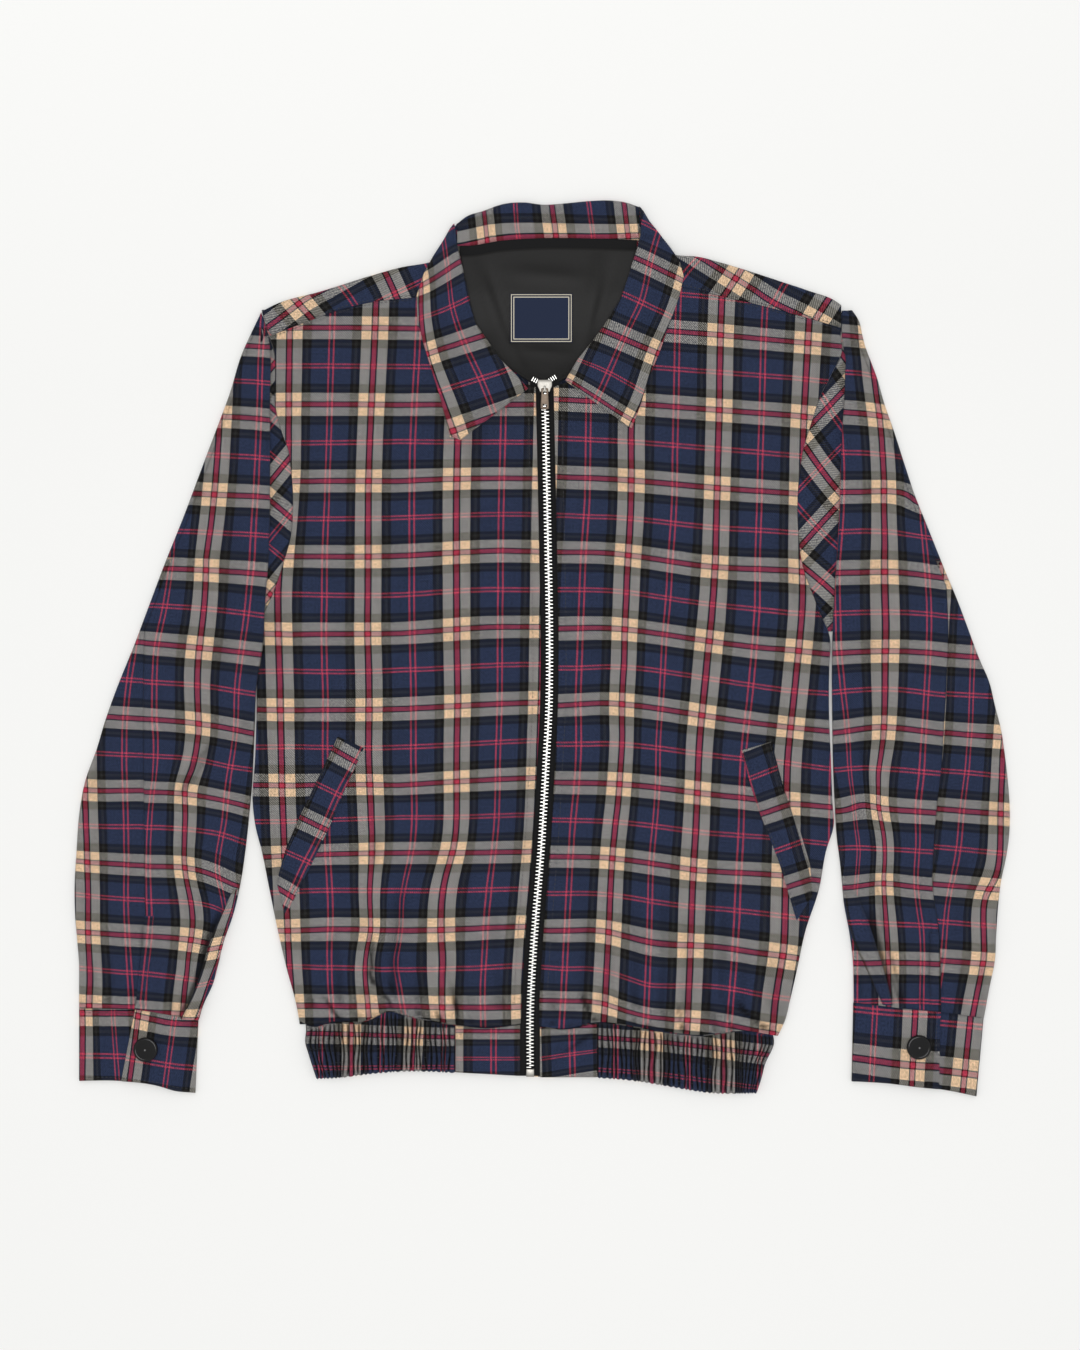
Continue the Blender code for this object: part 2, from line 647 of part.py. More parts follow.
def sleeve_panel(hand):
    rows = SLEEVE_SECTIONS[hand]
    bottom = moved(CUFF_TOP[hand], -SEAM)
    return Panel(reader(rows, "outer"), reader(rows, "inner"), SLEEVE_TOP[hand], bottom)


def sleeve_lift(hand, y):
    return np.maximum(follow(SLEEVE_SECTIONS[hand], "y", "lift", y), 0.0)


def sleeve_top(hand, x, y, share, length):
    """Height of a sleeve's upper face, at a share of its width from the outer edge."""
    middle = step(share / 0.25) * step((1 - share) / 0.25)
    loft = SLEEVE_LOFT * step((length - 10) / 50)
    lift = sleeve_lift(hand, y)
    rise = (loft + folds_at(SLEEVE_FOLDS, x, y)) * middle
    from_fold = (1 - share) * length - LIP - 2
    return 2 * FOLD_RADIUS + rise + lift * (1 - step(from_fold / min(24.0, max(length - LIP - 4, 1.0))))


def free_below_underarm(y):
    """0 where the sleeve is joined to the body, and 1 where it is free."""
    return float(step((UNDERARM_Y - y) / 16))


def lip_length(y, length):
    return min(LIP + (FREE_LIP - LIP) * free_below_underarm(y), 0.4 * length)


def seam_share(hand, panel, v, length):
    """The share at which the seam between front and back sleeve crosses a row."""
    x, y = panel.at(0.0, v)
    inset = abs(float(x)) - abs(float(follow(BACK_SEAM[hand], "y", "x", y)))
    return min(max(inset, SEAM_LEAST_INSET), 0.45 * length) / length


def sleeve_front(hand, twill):
    """The large sleeve piece: from the back seam over the top, round the edge by the body and under it."""
    panel = sleeve_panel(hand)
    strips = []
    for v in panel.rows_through(1.0, STATIONS):
        inward, length = panel.row(v)
        y_fold = float(panel.at(1.0, v)[1])
        lift = float(sleeve_lift(hand, y_fold))
        strip = Strip(CLOTH)
        start = seam_share(hand, panel, v, length) + SEAM / length
        for share in shares(7, start, 1 - FOLD_RADIUS / length)[:-1]:
            x, y = panel.at(share, v)
            strip.add(x, y, sleeve_top(hand, x, y, share, length), UP)
        for angle in reversed(CURL):
            point = panel.at(1 - FOLD_RADIUS * (1 - math.cos(angle)) / length, v)
            strip.add(*point, lift + FOLD_RADIUS * (1 + math.sin(angle)), curl_normal(inward, angle))
        lip = lip_length(y_fold, length)
        over_body = OVER_SIDE if lip > LIP else FOLD_RADIUS
        for offset in (over_body + 0.3 * (lip - over_body), lip):
            drop = lift * free_below_underarm(y_fold) * step((offset - over_body) / (lip - over_body))
            strip.add(*panel.at(1 - offset / length, v), lift - drop, -UP)
        strips.append(strip)
    return wall_of_strips("sleeve_front_" + hand, strips, twill)


def sleeve_back(hand, twill):
    """The narrow sleeve piece: from the armhole and underarm seam across the underside to the outer edge."""
    panel = sleeve_panel(hand)
    strips = []
    for v in panel.rows_through(1.0, STATIONS):
        inward, length = panel.row(v)
        x_fold, y_fold = panel.at(1.0, v)
        above_lap = float(step((y_fold - SLEEVE_LAPS_BELOW[hand]) / 6))
        free = max(free_below_underarm(float(y_fold) - 16), above_lap)
        joined = panel.share(body_side(hand)(y_fold) - toward_zip(hand) * SEAM, y_fold)
        parted = 1 - (lip_length(float(y_fold), length) + SEAM) / length
        start = joined * (1 - free) + parted * free
        strip = Strip(CLOTH)
        for share in shares(5, start, FOLD_RADIUS / length)[:-1]:
            strip.add(*panel.at(share, v), 0.0, -UP)
        for angle in CURL:
            point = panel.at(FOLD_RADIUS * (1 - math.cos(angle)) / length, v)
            strip.add(*point, FOLD_RADIUS * (1 + math.sin(angle)), curl_normal(-inward, angle))
        end = seam_share(hand, panel, v, length)
        for share in shares(3, FOLD_RADIUS / length, end)[1:]:
            x, y = panel.at(share, v)
            strip.add(x, y, sleeve_top(hand, x, y, share, length), UP)
        strips.append(strip)
    return wall_of_strips("sleeve_back_" + hand, strips, twill)


def sleeve_turn(hand, twill):
    """The part of the front sleeve next to the armhole, which turns back under the sleeve's folded edge."""
    inwards = toward_zip(hand)

    def armhole(y):
        return body_side(hand)(y) - inwards * SEAM

    def hidden_edge(y):
        return follow(SLEEVE_SECTIONS[hand], "y", "inner", y) - inwards * LIP

    top, bottom = ([Point(armhole(y), y), Point(hidden_edge(y), y)] for y in (TURN_TOP_Y, UNDERARM_Y + 2))
    panel = Panel(armhole, hidden_edge, top, bottom)
    rows = panel.rows_through(0.0, STATIONS)
    top_height = 2 * CLOTH + SEAM
    return slab("sleeve_turn_" + hand, panel, shares(3), rows, lambda x, y: top_height + 0 * x, CLOTH, twill)


def placket(hand, twill):
    """The bound slit in a sleeve, laid on its upper face."""
    panel = sleeve_panel(hand)

    def side(way):
        return lambda y: follow(PLACKETS[hand], "y", "x", y) + way * PLACKET_WIDTH / 2

    ends = ([Point(float(side(way)(point.y)), point.y) for way in (-1, 1)] for point in PLACKETS[hand])
    shape = Panel(side(-1), side(1), *ends)

    def height(x, y):
        low, high = panel.first(y), panel.second(y)
        return sleeve_top(hand, x, y, (x - low) / (high - low), 100.0) + LAID_ON + TRIM

    return slab("placket_" + hand, shape, shares(4), shares(8), height, TRIM, twill)


def cuff_height(top_layer_share, share):
    """Height of the overlap's face, which rises from the folded edge to lie on the underlap."""
    return 2 * FOLD_RADIUS + CUFF_STEP * step((1 - share) / max(1 - top_layer_share, 0.05))


def cuff(hand, twill):
    """One strip round the wrist: underlap, outer edge, underside, inner edge and the overlap above all."""
    first, second = (reader(points, "x") for points in CUFF_SIDES[hand])
    panel = Panel(first, second, CUFF_TOP[hand], CUFF_BOTTOM[hand])
    strips = []
    for v in shares(4):
        inward, length = panel.row(v)
        end_x = CUFF_OVERLAP_END[hand][0] * (1 - v) + CUFF_OVERLAP_END[hand][1] * v
        overlap_end = panel.share(end_x, panel.at(0.5, v)[1])
        under_end = overlap_end + CUFF_UNDERLAP / length
        edge = FOLD_RADIUS / length
        strip = Strip(COLLAR_CLOTH)
        for share in shares(4, under_end, edge)[:-1]:
            strip.add(*panel.at(share, v), 2 * FOLD_RADIUS, UP)
        for angle in reversed(CURL):
            point = panel.at(edge * (1 - math.cos(angle)), v)
            strip.add(*point, FOLD_RADIUS * (1 + math.sin(angle)), curl_normal(-inward, angle))
        for share in shares(4, edge, 1 - edge)[1:-1]:
            strip.add(*panel.at(share, v), 0.0, -UP)
        for angle in CURL:
            point = panel.at(1 - edge * (1 - math.cos(angle)), v)
            strip.add(*point, FOLD_RADIUS * (1 + math.sin(angle)), curl_normal(inward, angle))
        flat_from = under_end + FLAT_UNDERLAP / length
        for share in (1 - 0.35 * (1 - flat_from), 1 - 0.7 * (1 - flat_from), flat_from, overlap_end):
            strip.add(*panel.at(share, v), cuff_height(flat_from, share), UP)
        strips.append(strip)
    return wall_of_strips("cuff_" + hand, strips, twill)


def lathe(name, middle, base, profile, segments, plastic):
    """A turned solid: rings from the profile, with both ends closed by a point on the axis."""
    points = [(middle.x, middle.y, base)]
    for ring in profile:
        for k in range(segments):
            angle = 2 * math.pi * k / segments
            x, y = middle.x + ring.radius * math.cos(angle), middle.y + ring.radius * math.sin(angle)
            points.append((x, y, base + ring.height))
    points.append((middle.x, middle.y, base + profile[-1].height - POINT_DROP))
    faces = []
    last = len(points) - 1
    for k in range(segments):
        after = (k + 1) % segments
        faces.append((0, 1 + after, 1 + k))
        for ring in range(len(profile) - 1):
            low, high = 1 + ring * segments, 1 + (ring + 1) * segments
            faces.append((low + k, low + after, high + after, high + k))
        top = 1 + (len(profile) - 1) * segments
        faces.append((top + k, top + after, last))
    return make_object(name, points, faces, plastic)


def band_top(x, y):
    """Height of the waistband's front face."""
    from_right = x - follow(BAND_SIDES, "y", "right", y)
    from_left = follow(BAND_SIDES, "y", "left", y) - x
    return 2 * COLLAR_CLOTH + SEAM + BAND_LOFT * step(np.minimum(from_right, from_left) / 24)


def band_tab(hand, twill):
    first, second = BAND_TAB_ENDS[hand]
    top = [point for point in WAIST if first - 8 < point.x < second + 8]
    bottom = [point for point in HEM if first - 12 < point.x < second + 12]
    panel = Panel(at_x(first), at_x(second), top, bottom)
    return slab("waistband_tab_" + hand, panel, shares(7), shares(4), band_top, COLLAR_CLOTH, twill)


def elastic(hand, twill):
    """A ruched stretch: upright ribs on its outer face, and a plain inner face."""
    if hand == "R":
        first, second = reader(BAND_SIDES, "right"), at_x(BAND_TAB_ENDS["R"][0] - SEAM)
        middle = BAND_TAB_ENDS["R"][0]
    else:
        first, second = reader(BAND_SIDES, "left"), at_x(BAND_TAB_ENDS["L"][1] + SEAM)
        middle = BAND_TAB_ENDS["L"][1]

    def outside(point):
        return abs(point.x) > abs(middle) - 4 and point.x * middle > 0

    panel = Panel(first, second, list(filter(outside, WAIST)), list(filter(outside, HEM)))
    width = abs(float(panel.second(-320.0) - panel.first(-320.0)))
    count = 2 * int(round(width / RIB_PITCH)) + 1
    u, v = np.meshgrid(shares(count), np.array([0.0, 0.12, 0.88, 1.0]), indexing="ij")
    x, y = panel.at(u, v)
    rib = np.where(np.arange(count) % 2 == 0, 0.0, RIB_HEIGHT)[:, None]
    inner = np.stack([x, y, band_top(x, y) - COLLAR_CLOTH], axis=-1)
    outer = inner + UP * (COLLAR_CLOTH + rib * step(v / 0.1) * step((1 - v) / 0.1))[..., None]
    return wall("waistband_elastic_" + hand, outer, inner, twill)


def band_back(twill):
    panel = Panel(reader(BAND_SIDES, "right"), reader(BAND_SIDES, "left"), moved(BACK_WAIST, SEAM), HEM)
    columns, rows = shares(17), shares(4)
    height = COLLAR_CLOTH
    return slab("waistband_back", panel, columns, rows, lambda x, y: height + 0 * x, height, twill)


def welt(hand, twill):
    """A pocket welt, laid on its front."""
    rows = WELT[hand]
    u, v = np.meshgrid(shares(4), shares(13), indexing="ij")
    at = np.array(rows, float)
    spots = v * (len(rows) - 1)
    columns = [np.interp(spots, np.arange(len(rows)), at[:, k]) for k in range(4)]
    x = columns[0] * (1 - u) + columns[2] * u
    y = columns[1] * (1 - u) + columns[3] * u
    outer = np.stack([x, y, body_top(x, y) + LAID_ON + TRIM], axis=-1)
    return wall("welt_" + hand, outer, outer - UP * TRIM, twill)


def leaf_base(hand, x, y):
    """Height of what the collar leaf lies on, with its clearance."""
    off = step((y - LEAF_LEAVES_SHOULDER_Y[hand]) / 12)
    return body_top(x, y) * (1 - off) + COLLAR_CLOTH * off + LEAF_CLEARANCE


def leaf(hand, twill):
    """A pointed front part of the collar: under the roll, over it and out to the free edge."""
    rows = np.array(LEAF[hand], float)
    spots = shares(15, 0, len(rows) - 1)
    strips = []
    for spot in spots:
        from_x, from_y, to_x, to_y = (np.interp(spot, np.arange(len(rows)), rows[:, k]) for k in range(4))
        length = math.hypot(to_x - from_x, to_y - from_y)
        outward = np.array([from_x - to_x, from_y - to_y, 0.0]) / length
        lip = min(LIP, 0.4 * length)
        top_of = COLLAR_CLOTH + SEAM

        def at(offset):
            share = offset / length
            return from_x + (to_x - from_x) * share, from_y + (to_y - from_y) * share

        roll_base = float(leaf_base(hand, from_x, from_y))
        strip = Strip(COLLAR_CLOTH)
        for offset in (lip, (lip + LEAF_RADIUS) / 2):
            x, y = at(offset)
            strip.add(x, y, leaf_base(hand, x, y), -UP)
        for angle in CURL:
            point = at(LEAF_RADIUS * (1 - math.cos(angle)))
            strip.add(*point, roll_base + LEAF_RADIUS * (1 + math.sin(angle)), curl_normal(outward, angle))
        for share in (0.3, 0.45, 0.62, 0.8, 1.0):
            offset = LEAF_RADIUS + (length - LEAF_RADIUS) * share
            x, y = at(offset)
            over_lip = 1 - step((offset - lip) / (0.45 * length))
            strip.add(x, y, leaf_base(hand, x, y) + COLLAR_CLOTH + top_of * over_lip, UP)
        strips.append(strip)
    return wall_of_strips("collar_leaf_" + hand, strips, twill)


def collar_back(twill):
    """The back fall, flat under the back, and the roll that carries it up to the stand."""
    sides = (reader(BACK_FALL_SIDES, "right"), reader(BACK_FALL_SIDES, "left"))
    panel = Panel(*sides, BACK_ROLL, BACK_FALL_EDGE)
    outward = np.array([0.0, 1.0, 0.0])
    strips = []
    for u in shares(13):
        x, y = panel.at(u, np.array([0.0, 1.0]))
        depth = abs(y[1] - y[0])
        strip = Strip(COLLAR_CLOTH)
        for v in (1.0, 0.66, 0.33):
            strip.add(*panel.at(u, v), 0.0, -UP)
        for angle in CURL:
            point = panel.at(u, ROLL_RADIUS * (1 - math.cos(angle)) / depth)
            strip.add(*point, ROLL_RADIUS * (1 + math.sin(angle)), curl_normal(outward, angle))
        strips.append(strip)
    return wall_of_strips("collar_back", strips, twill)


def collar_stand(twill):
    """The inside of the collar at the back, from the roll down to the neck seam."""
    top = moved(BACK_ROLL, ROLL_RADIUS + 2 * SEAM)
    panel = Panel(at_x(STAND_ENDS[0]), at_x(STAND_ENDS[1]), top, NECK_SEAM)
    u, v = np.meshgrid(shares(17), shares(4), indexing="ij")
    x, y = panel.at(u, v)
    outer = np.stack([x, y, 2 * ROLL_RADIUS - 1.2 * step(v)], axis=-1)
    return wall("collar_stand", outer, outer - UP * COLLAR_CLOTH, twill)


def over_back(height):
    return lambda x, y: collar_lift(x, y) + CLOTH + SEAM + height


def neck_tape(cloth):
    top = moved(NECK_SEAM, SEAM)
    panel = Panel(at_x(NECK_TAPE_ENDS[0]), at_x(NECK_TAPE_ENDS[1]), top, moved(top, NECK_TAPE_WIDTH))
    return slab("neck_tape", panel, shares(17), shares(3), over_back(TRIM), TRIM, cloth)


def lining(satin):
    """The back lining, as far as it shows inside the neck."""
    panel = Panel(
        reader(LINING_SIDES, "right"),
        reader(LINING_SIDES, "left"),
        moved(NECK_SEAM, NECK_TAPE_WIDTH + 3 * SEAM),
        [Point(-20, LINING_BOTTOM_Y), Point(20, LINING_BOTTOM_Y)],
    )
    return slab("lining_back", panel, shares(11), shares(9), over_back(TRIM), TRIM, satin)


def label(woven):
    ends = LABEL_ENDS
    top, bottom = ([Point(x, y) for x in ends] for y in (LABEL_TOP_Y, LABEL_BOTTOM_Y))
    panel = Panel(at_x(ends[0]), at_x(ends[1]), top, bottom)
    return slab("label", panel, shares(3), shares(6), over_back(2 * TRIM + LAID_ON), TRIM, woven)


def along_zip(name, near, far, low, high, top_y, bottom_y, material):
    """A bar that follows the zip's middle line between two distances to its side."""
    y, offset = np.meshgrid(shares(15, top_y, bottom_y), np.array([near, far]), indexing="ij")
    x = follow(ZIP_LINE, "y", "x", y) + offset
    outer = np.stack([x, y, np.full(x.shape, high)], axis=-1)
    return wall(name, outer, outer - UP * (high - low), material)


def cells(name, lines, keep, material, reshape=None):
    """A closed solid from the cells of a box grid that `keep` names, with its corners moved by `reshape`."""
    counts = [len(line) - 1 for line in lines]
    index, points, faces = {}, [], []

    def corner(i, j, k):
        if (i, j, k) not in index:
            index[i, j, k] = len(points)
            points.append((lines[0][i], lines[1][j], lines[2][k]))
        return index[i, j, k]

    def kept(cell):
        return all(0 <= cell[a] < counts[a] for a in range(3)) and keep(*cell)

    for cell in np.ndindex(*counts):
        if not kept(cell):
            continue
        for axis in range(3):
            for side in (0, 1):
                beyond = list(cell)
                beyond[axis] += 2 * side - 1
                if kept(tuple(beyond)):
                    continue
                others = [a for a in range(3) if a != axis]
                quad = []
                for a, b in ((0, 0), (1, 0), (1, 1), (0, 1)):
                    spot = list(cell)
                    spot[axis] += side
                    spot[others[0]] += a
                    spot[others[1]] += b
                    quad.append(corner(*spot))
                faces.append(tuple(quad))
    points = np.array(points, float)
    if reshape is not None:
        points = reshape(points)
    return make_object(name, points, faces, material)


def slider(metal):
    """The slider's top plate with the bridge that holds the pull tab."""

    def keep(i, j, k):
        """The whole plate, two legs on its middle strip and the bar that joins their tops."""
        if k == 0:
            return True
        low, high = SLIDER_LEGS
        leg = SLIDER_ALONG[j] in SLIDER_LEGS
        return i == 1 and (leg or (k == 2 and low < SLIDER_ALONG[j] < high))

    def crown(points):
        """Narrows the plate towards its foot."""
        wide = SLIDER_FOOT_SHARE + (1 - SLIDER_FOOT_SHARE) * step((points[:, 1] - SLIDER_ALONG[0]) / 6)
        outer = np.abs(points[:, 0]) > 1
        points[:, 0] = np.where(outer, points[:, 0] * wide, points[:, 0])
        return points + np.array([SLIDER_X, PULL_PIN_Y, 0.0])

    return cells("zip_slider", [SLIDER_ACROSS, SLIDER_ALONG, SLIDER_UP], keep, metal, crown)


def pull_tab(metal):
    """The pull tab: a bar under the slider's bridge, two arms and a plate with a hole near its end."""
    slot, loop = PULL_ALONG.index(-14.8), PULL_ALONG.index(-4.2)

    def keep(i, j, k):
        return not (i == 1 and j in (slot, loop))

    def slope(points):
        """Widens the tab towards its foot and tilts it down to the chain."""
        wide = 0.86 + 0.2 * step(-points[:, 1] / 12)
        x = points[:, 0] * wide
        cosine, sine = math.cos(PULL_SLOPE), math.sin(PULL_SLOPE)
        y = points[:, 1] * cosine - points[:, 2] * sine
        z = points[:, 1] * sine + points[:, 2] * cosine
        return np.stack([x, y, z], axis=-1)

    thing = cells("zip_pull", [PULL_ACROSS, PULL_ALONG, PULL_UP], keep, metal, slope)
    thing.location = (SLIDER_X * MM, PULL_PIN_Y * MM, PULL_PIN_Z * MM)
    return thing


def zip_parts(metal, tape, bronze):
    half = CHAIN_HALF_WIDTH
    box_top = CHAIN_BOTTOM_Y - SEAM
    along_zip("zip_chain", -half, half, CHAIN_LOW, CHAIN_HIGH, CHAIN_TOP_Y, CHAIN_BOTTOM_Y, metal)
    along_zip("zip_box", -half, half, CHAIN_LOW, CHAIN_HIGH + ZIP_BOX_RISE, box_top, ZIP_BOX_BOTTOM_Y, metal)
    for hand in ("R", "L"):
        reach, near = (-toward_zip(hand) * offset for offset in (TAPE_REACH, half + SEAM))
        high = CHAIN_LOW + TAPE
        along_zip("zip_tape_" + hand, reach, near, CHAIN_LOW, high, TAPE_TOP_Y, TAPE_BOTTOM_Y, tape)
    slider(metal)
    pull_tab(bronze)


def main():
    for thing in list(bpy.data.objects):
        bpy.data.objects.remove(thing)
    twill = finish("checked_twill", (0.10, 0.11, 0.15), 0.85)
    satin = finish("lining_satin", (0.03, 0.027, 0.024), 0.45)
    woven = finish("label_damask", (0.05, 0.05, 0.055), 0.7)
    tape = finish("black_tape", (0.015, 0.015, 0.017), 0.8)
    metal = finish("zip_metal", (0.62, 0.62, 0.60), 0.3, 1.0)
    bronze = finish("pull_bronze", (0.16, 0.13, 0.11), 0.4, 1.0)
    plastic = finish("button_plastic", (0.01, 0.01, 0.012), 0.15)

    back(twill)
    band_back(twill)
    collar_back(twill)
    collar_stand(twill)
    neck_tape(tape)
    lining(satin)
    label(woven)
    for hand in ("R", "L"):
        front(hand, twill)
        yoke(hand, twill)
        sleeve_front(hand, twill)
        sleeve_back(hand, twill)
        sleeve_turn(hand, twill)
        placket(hand, twill)
        cuff(hand, twill)
        welt(hand, twill)
        band_tab(hand, twill)
        elastic(hand, twill)
        leaf(hand, twill)
        base = 2 * FOLD_RADIUS + CUFF_STEP + SEAM
        lathe("button_" + hand, BUTTONS[hand], base, BUTTON_PROFILE, BUTTON_SEGMENTS, plastic)
    zip_parts(metal, tape, bronze)


main()
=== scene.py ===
"""Looks of the checked twill harrington jacket, zipped up and laid flat on its back.

X runs across the jacket (the wearer's right sleeve is at -X), +Y points to the collar and +Z up. The tables are in
millimetres. Each cloth piece is one closed wall: a grid of points on its outer face and the same grid moved in by
the cloth. Its UV map "cloth" holds the distance in millimetres along the warp and the weft of the check.
"""

from collections import namedtuple
from functools import partial
import math

import bmesh
import bpy
from mathutils.bvhtree import BVHTree
import numpy as np
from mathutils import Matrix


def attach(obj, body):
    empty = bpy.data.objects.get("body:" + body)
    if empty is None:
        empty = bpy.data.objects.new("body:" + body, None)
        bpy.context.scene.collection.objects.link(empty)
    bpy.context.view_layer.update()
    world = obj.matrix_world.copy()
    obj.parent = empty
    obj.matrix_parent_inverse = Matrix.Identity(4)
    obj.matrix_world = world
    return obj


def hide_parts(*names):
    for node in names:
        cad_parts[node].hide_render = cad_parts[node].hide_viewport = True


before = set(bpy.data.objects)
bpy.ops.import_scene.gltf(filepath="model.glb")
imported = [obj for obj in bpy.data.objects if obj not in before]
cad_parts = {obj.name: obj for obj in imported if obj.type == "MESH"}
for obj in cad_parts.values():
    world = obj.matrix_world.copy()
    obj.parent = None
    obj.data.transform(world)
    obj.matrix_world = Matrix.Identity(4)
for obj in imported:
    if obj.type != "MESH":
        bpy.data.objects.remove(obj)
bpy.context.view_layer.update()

MM = 0.001

# Camera: straight above the jacket.
VIEW_X, VIEW_Y = -1.6, -20.8
VIEW_HEIGHT = 1080.0
CAMERA_Z = 2400.0
SENSOR = 36.0


def make_camera():
    """A camera high over the middle of the jacket, looking straight down."""
    eye = bpy.data.cameras.new("camera")
    eye.sensor_width = SENSOR
    eye.lens = SENSOR * CAMERA_Z / VIEW_HEIGHT
    thing = bpy.data.objects.new("camera", eye)
    thing.location = (VIEW_X * MM, VIEW_Y * MM, CAMERA_Z * MM)
    bpy.context.scene.collection.objects.link(thing)
    bpy.context.scene.camera = thing


make_camera()

# Driving sizes, in millimetres.
CLOTH = 1.6              # twill with its lining
COLLAR_CLOTH = 1.8       # collar, cuffs and waistband: two plies and an interlining
TRIM = 1.0               # welts, plackets, lining, neck tape and label
TAPE = 0.9               # zip tape
SEAM = 0.3               # gap between neighbours
FOLD_RADIUS = 1.95       # half the height of a folded edge
ROLL_RADIUS = 2.7        # half the height of the roll at the back of the collar
LIP = 9.0                # what a folded edge carries round to its underside
FREE_LIP = 14.0          # the same along the free part of a sleeve
BODY_LOFT = 2.4          # how far the fronts rise from their edges to their middle
SLEEVE_LOFT = 2.0
BAND_LOFT = 1.5
COLLAR_LIFT = 2.3        # the back neck lies on the back fall of the collar
LAID_ON = 0.45           # clearance under a piece sewn on top of a rounded panel
UNDERARM_Y = 12.0
ZIP_HALF_OPENING = 7.2   # from the zip's middle to each front edge
CHAIN_HALF_WIDTH = 3.3
CHAIN_LOW, CHAIN_HIGH = 2.5, 4.9
CHAIN_TOP_Y, CHAIN_BOTTOM_Y = 214.5, -335.0
ZIP_BOX_BOTTOM_Y = -341.6
TAPE_REACH = 11.6        # from the zip's middle to the hidden edge of its tape
RIB_PITCH = 3.8

# Slider and pull tab: the tab turns about a line along X through PULL_PIN.
SLIDER_X = 2.2
PULL_PIN_Y, PULL_PIN_Z = 207.5, 8.0
PULL_SLOPE = math.radians(6.0)

Section = namedtuple("Section", "y outer inner lift")
Side = namedtuple("Side", "y right left")
Point = namedtuple("Point", "x y")
CrossRow = namedtuple("CrossRow", "from_x from_y to_x to_y")
PleatRow = namedtuple("PleatRow", "from_x from_y to_x to_y from_warp to_warp weft")
Fold = namedtuple("Fold", "x0 y0 x1 y1 width height")
Wave = namedtuple("Wave", "heading length height start")
Gather = namedtuple("Gather", "length height reach sway start")
Turn = namedtuple("Turn", "radius height")
Stripe = namedtuple("Stripe", "reach yarn")
Check = namedtuple("Check", "warp weft")
Cut = namedtuple("Cut", "width length area held rests_on")


def rows(kind, *values):
    """A table with the kind's columns, one row for each set of values."""
    return [kind(*value) for value in values]


# Sleeves, from the shoulder to the cuff: the outer edge, the folded edge by the body, and how high the underside of
# that edge lies, where it covers the armhole and the side of the body.
SLEEVE = {"R": rows(Section,
    (270, -224, -219.6, 0), (252, -232.6, -218.9, 0.3), (238, -239, -216.8, 4), (203, -250, -217, 4),
    (171, -262, -217, 4), (139, -274, -217, 4), (107, -286, -217.2, 4), (67, -302, -218.6, 4), (35, -314, -221, 4.6),
    (3, -326, -222.6, 5), (-33, -340.5, -228, 4.6), (-60, -350, -229.4, 1.5), (-77, -355, -230.2, 0),
    (-109, -366, -231.8, 0), (-133, -370, -234, 0), (-161, -372, -237, 0), (-190, -373.6, -241.5, 0),
    (-213, -373.2, -247, 0), (-233, -371.5, -254, 0), (-253, -370, -259, 0), (-269, -370, -263.5, 0),
    (-283, -370, -270, 0), (-297, -370, -274.5, 0)
), "L": rows(Section,
    (272, 247, 239.6, 0), (263, 253, 239.5, 0), (251, 256, 239.4, 0), (243, 258, 240.4, 0.3), (232, 262, 242.2, 4),
    (219, 267, 241.8, 4), (195, 274, 241, 4), (175, 281, 239.6, 4), (147, 290, 238.4, 4), (123, 298, 237.6, 4),
    (103, 306, 237, 4), (83, 314, 235.8, 4), (63, 322, 234.6, 4), (39, 332, 233, 4.6), (15, 341, 231.8, 5),
    (-9, 350, 231.2, 5), (-25, 357, 231.2, 4.6), (-45, 362, 231.6, 2.5), (-65, 367, 232, 0.5), (-85, 370, 232.4, 0),
    (-113, 373, 233.4, 0), (-133, 374, 234.4, 0), (-153, 373, 235.8, 0), (-169, 370.5, 238, 0), (-185, 367, 239.6, 0),
    (-201, 365, 241, 0), (-229, 363, 246, 0), (-249, 362, 248.4, 0), (-269, 358, 249, 0), (-296, 353, 249, 0)
)}
SLEEVE_TOP = {
    "R": rows(Point, (-224.4, 269), (-221.6, 260), (-218.9, 252)),
    "L": rows(Point, (247.6, 270.6), (239.6, 270.2)),
}
# The seam between the front and the back sleeve, which shows once it leaves the outer edge.
BACK_SEAM = {
    "R": rows(Point, (-317, 40), (-318, 0), (-318, -100), (-317.5, -200), (-316, -297)),
    "L": rows(Point,
        (323, 59), (325, 9), (323, -38), (319, -98), (313, -152), (311, -190), (316, -230), (318, -297)
    ),
}
SEAM_LEAST_INSET = 4.0   # the back seam stays this far inside the outer edge
# Armholes and sides of the body, as far as the waistband.
BODY_SIDES = rows(Side,
    (270, -223.7, 239), (250, -218.2, 238.6), (239, -214.2, 239.6), (219, -212.8, 231), (199, -213.3, 221),
    (187, -211.5, 217), (171, -207, 212), (159, -202.6, 208.5), (143, -200.3, 206), (127, -199, 204.4),
    (107, -199, 204), (91, -200.4, 204.8), (67, -207, 208), (39, -217, 218), (24, -224, 224), (12, -227.5, 229.3),
    (3, -228, 230.6), (-9, -227.8, 229.8), (-41, -227.9, 229.2), (-89, -229.3, 230.8), (-121, -231.2, 232),
    (-141, -229, 233), (-161, -224, 227), (-193, -217.5, 221), (-225, -211, 210.5), (-257, -203.5, 203.5),
    (-281, -197, 198), (-297, -194, 194), (-310, -193, 188)
)
ZIP_LINE = rows(Point,
    (2, 214), (3.2, 159), (5, 71), (6, 7), (5.4, -50), (3.4, -89), (-0.8, -161), (-4.2, -204), (-7.2, -245),
    (-9.4, -290), (-9.4, -342)
)
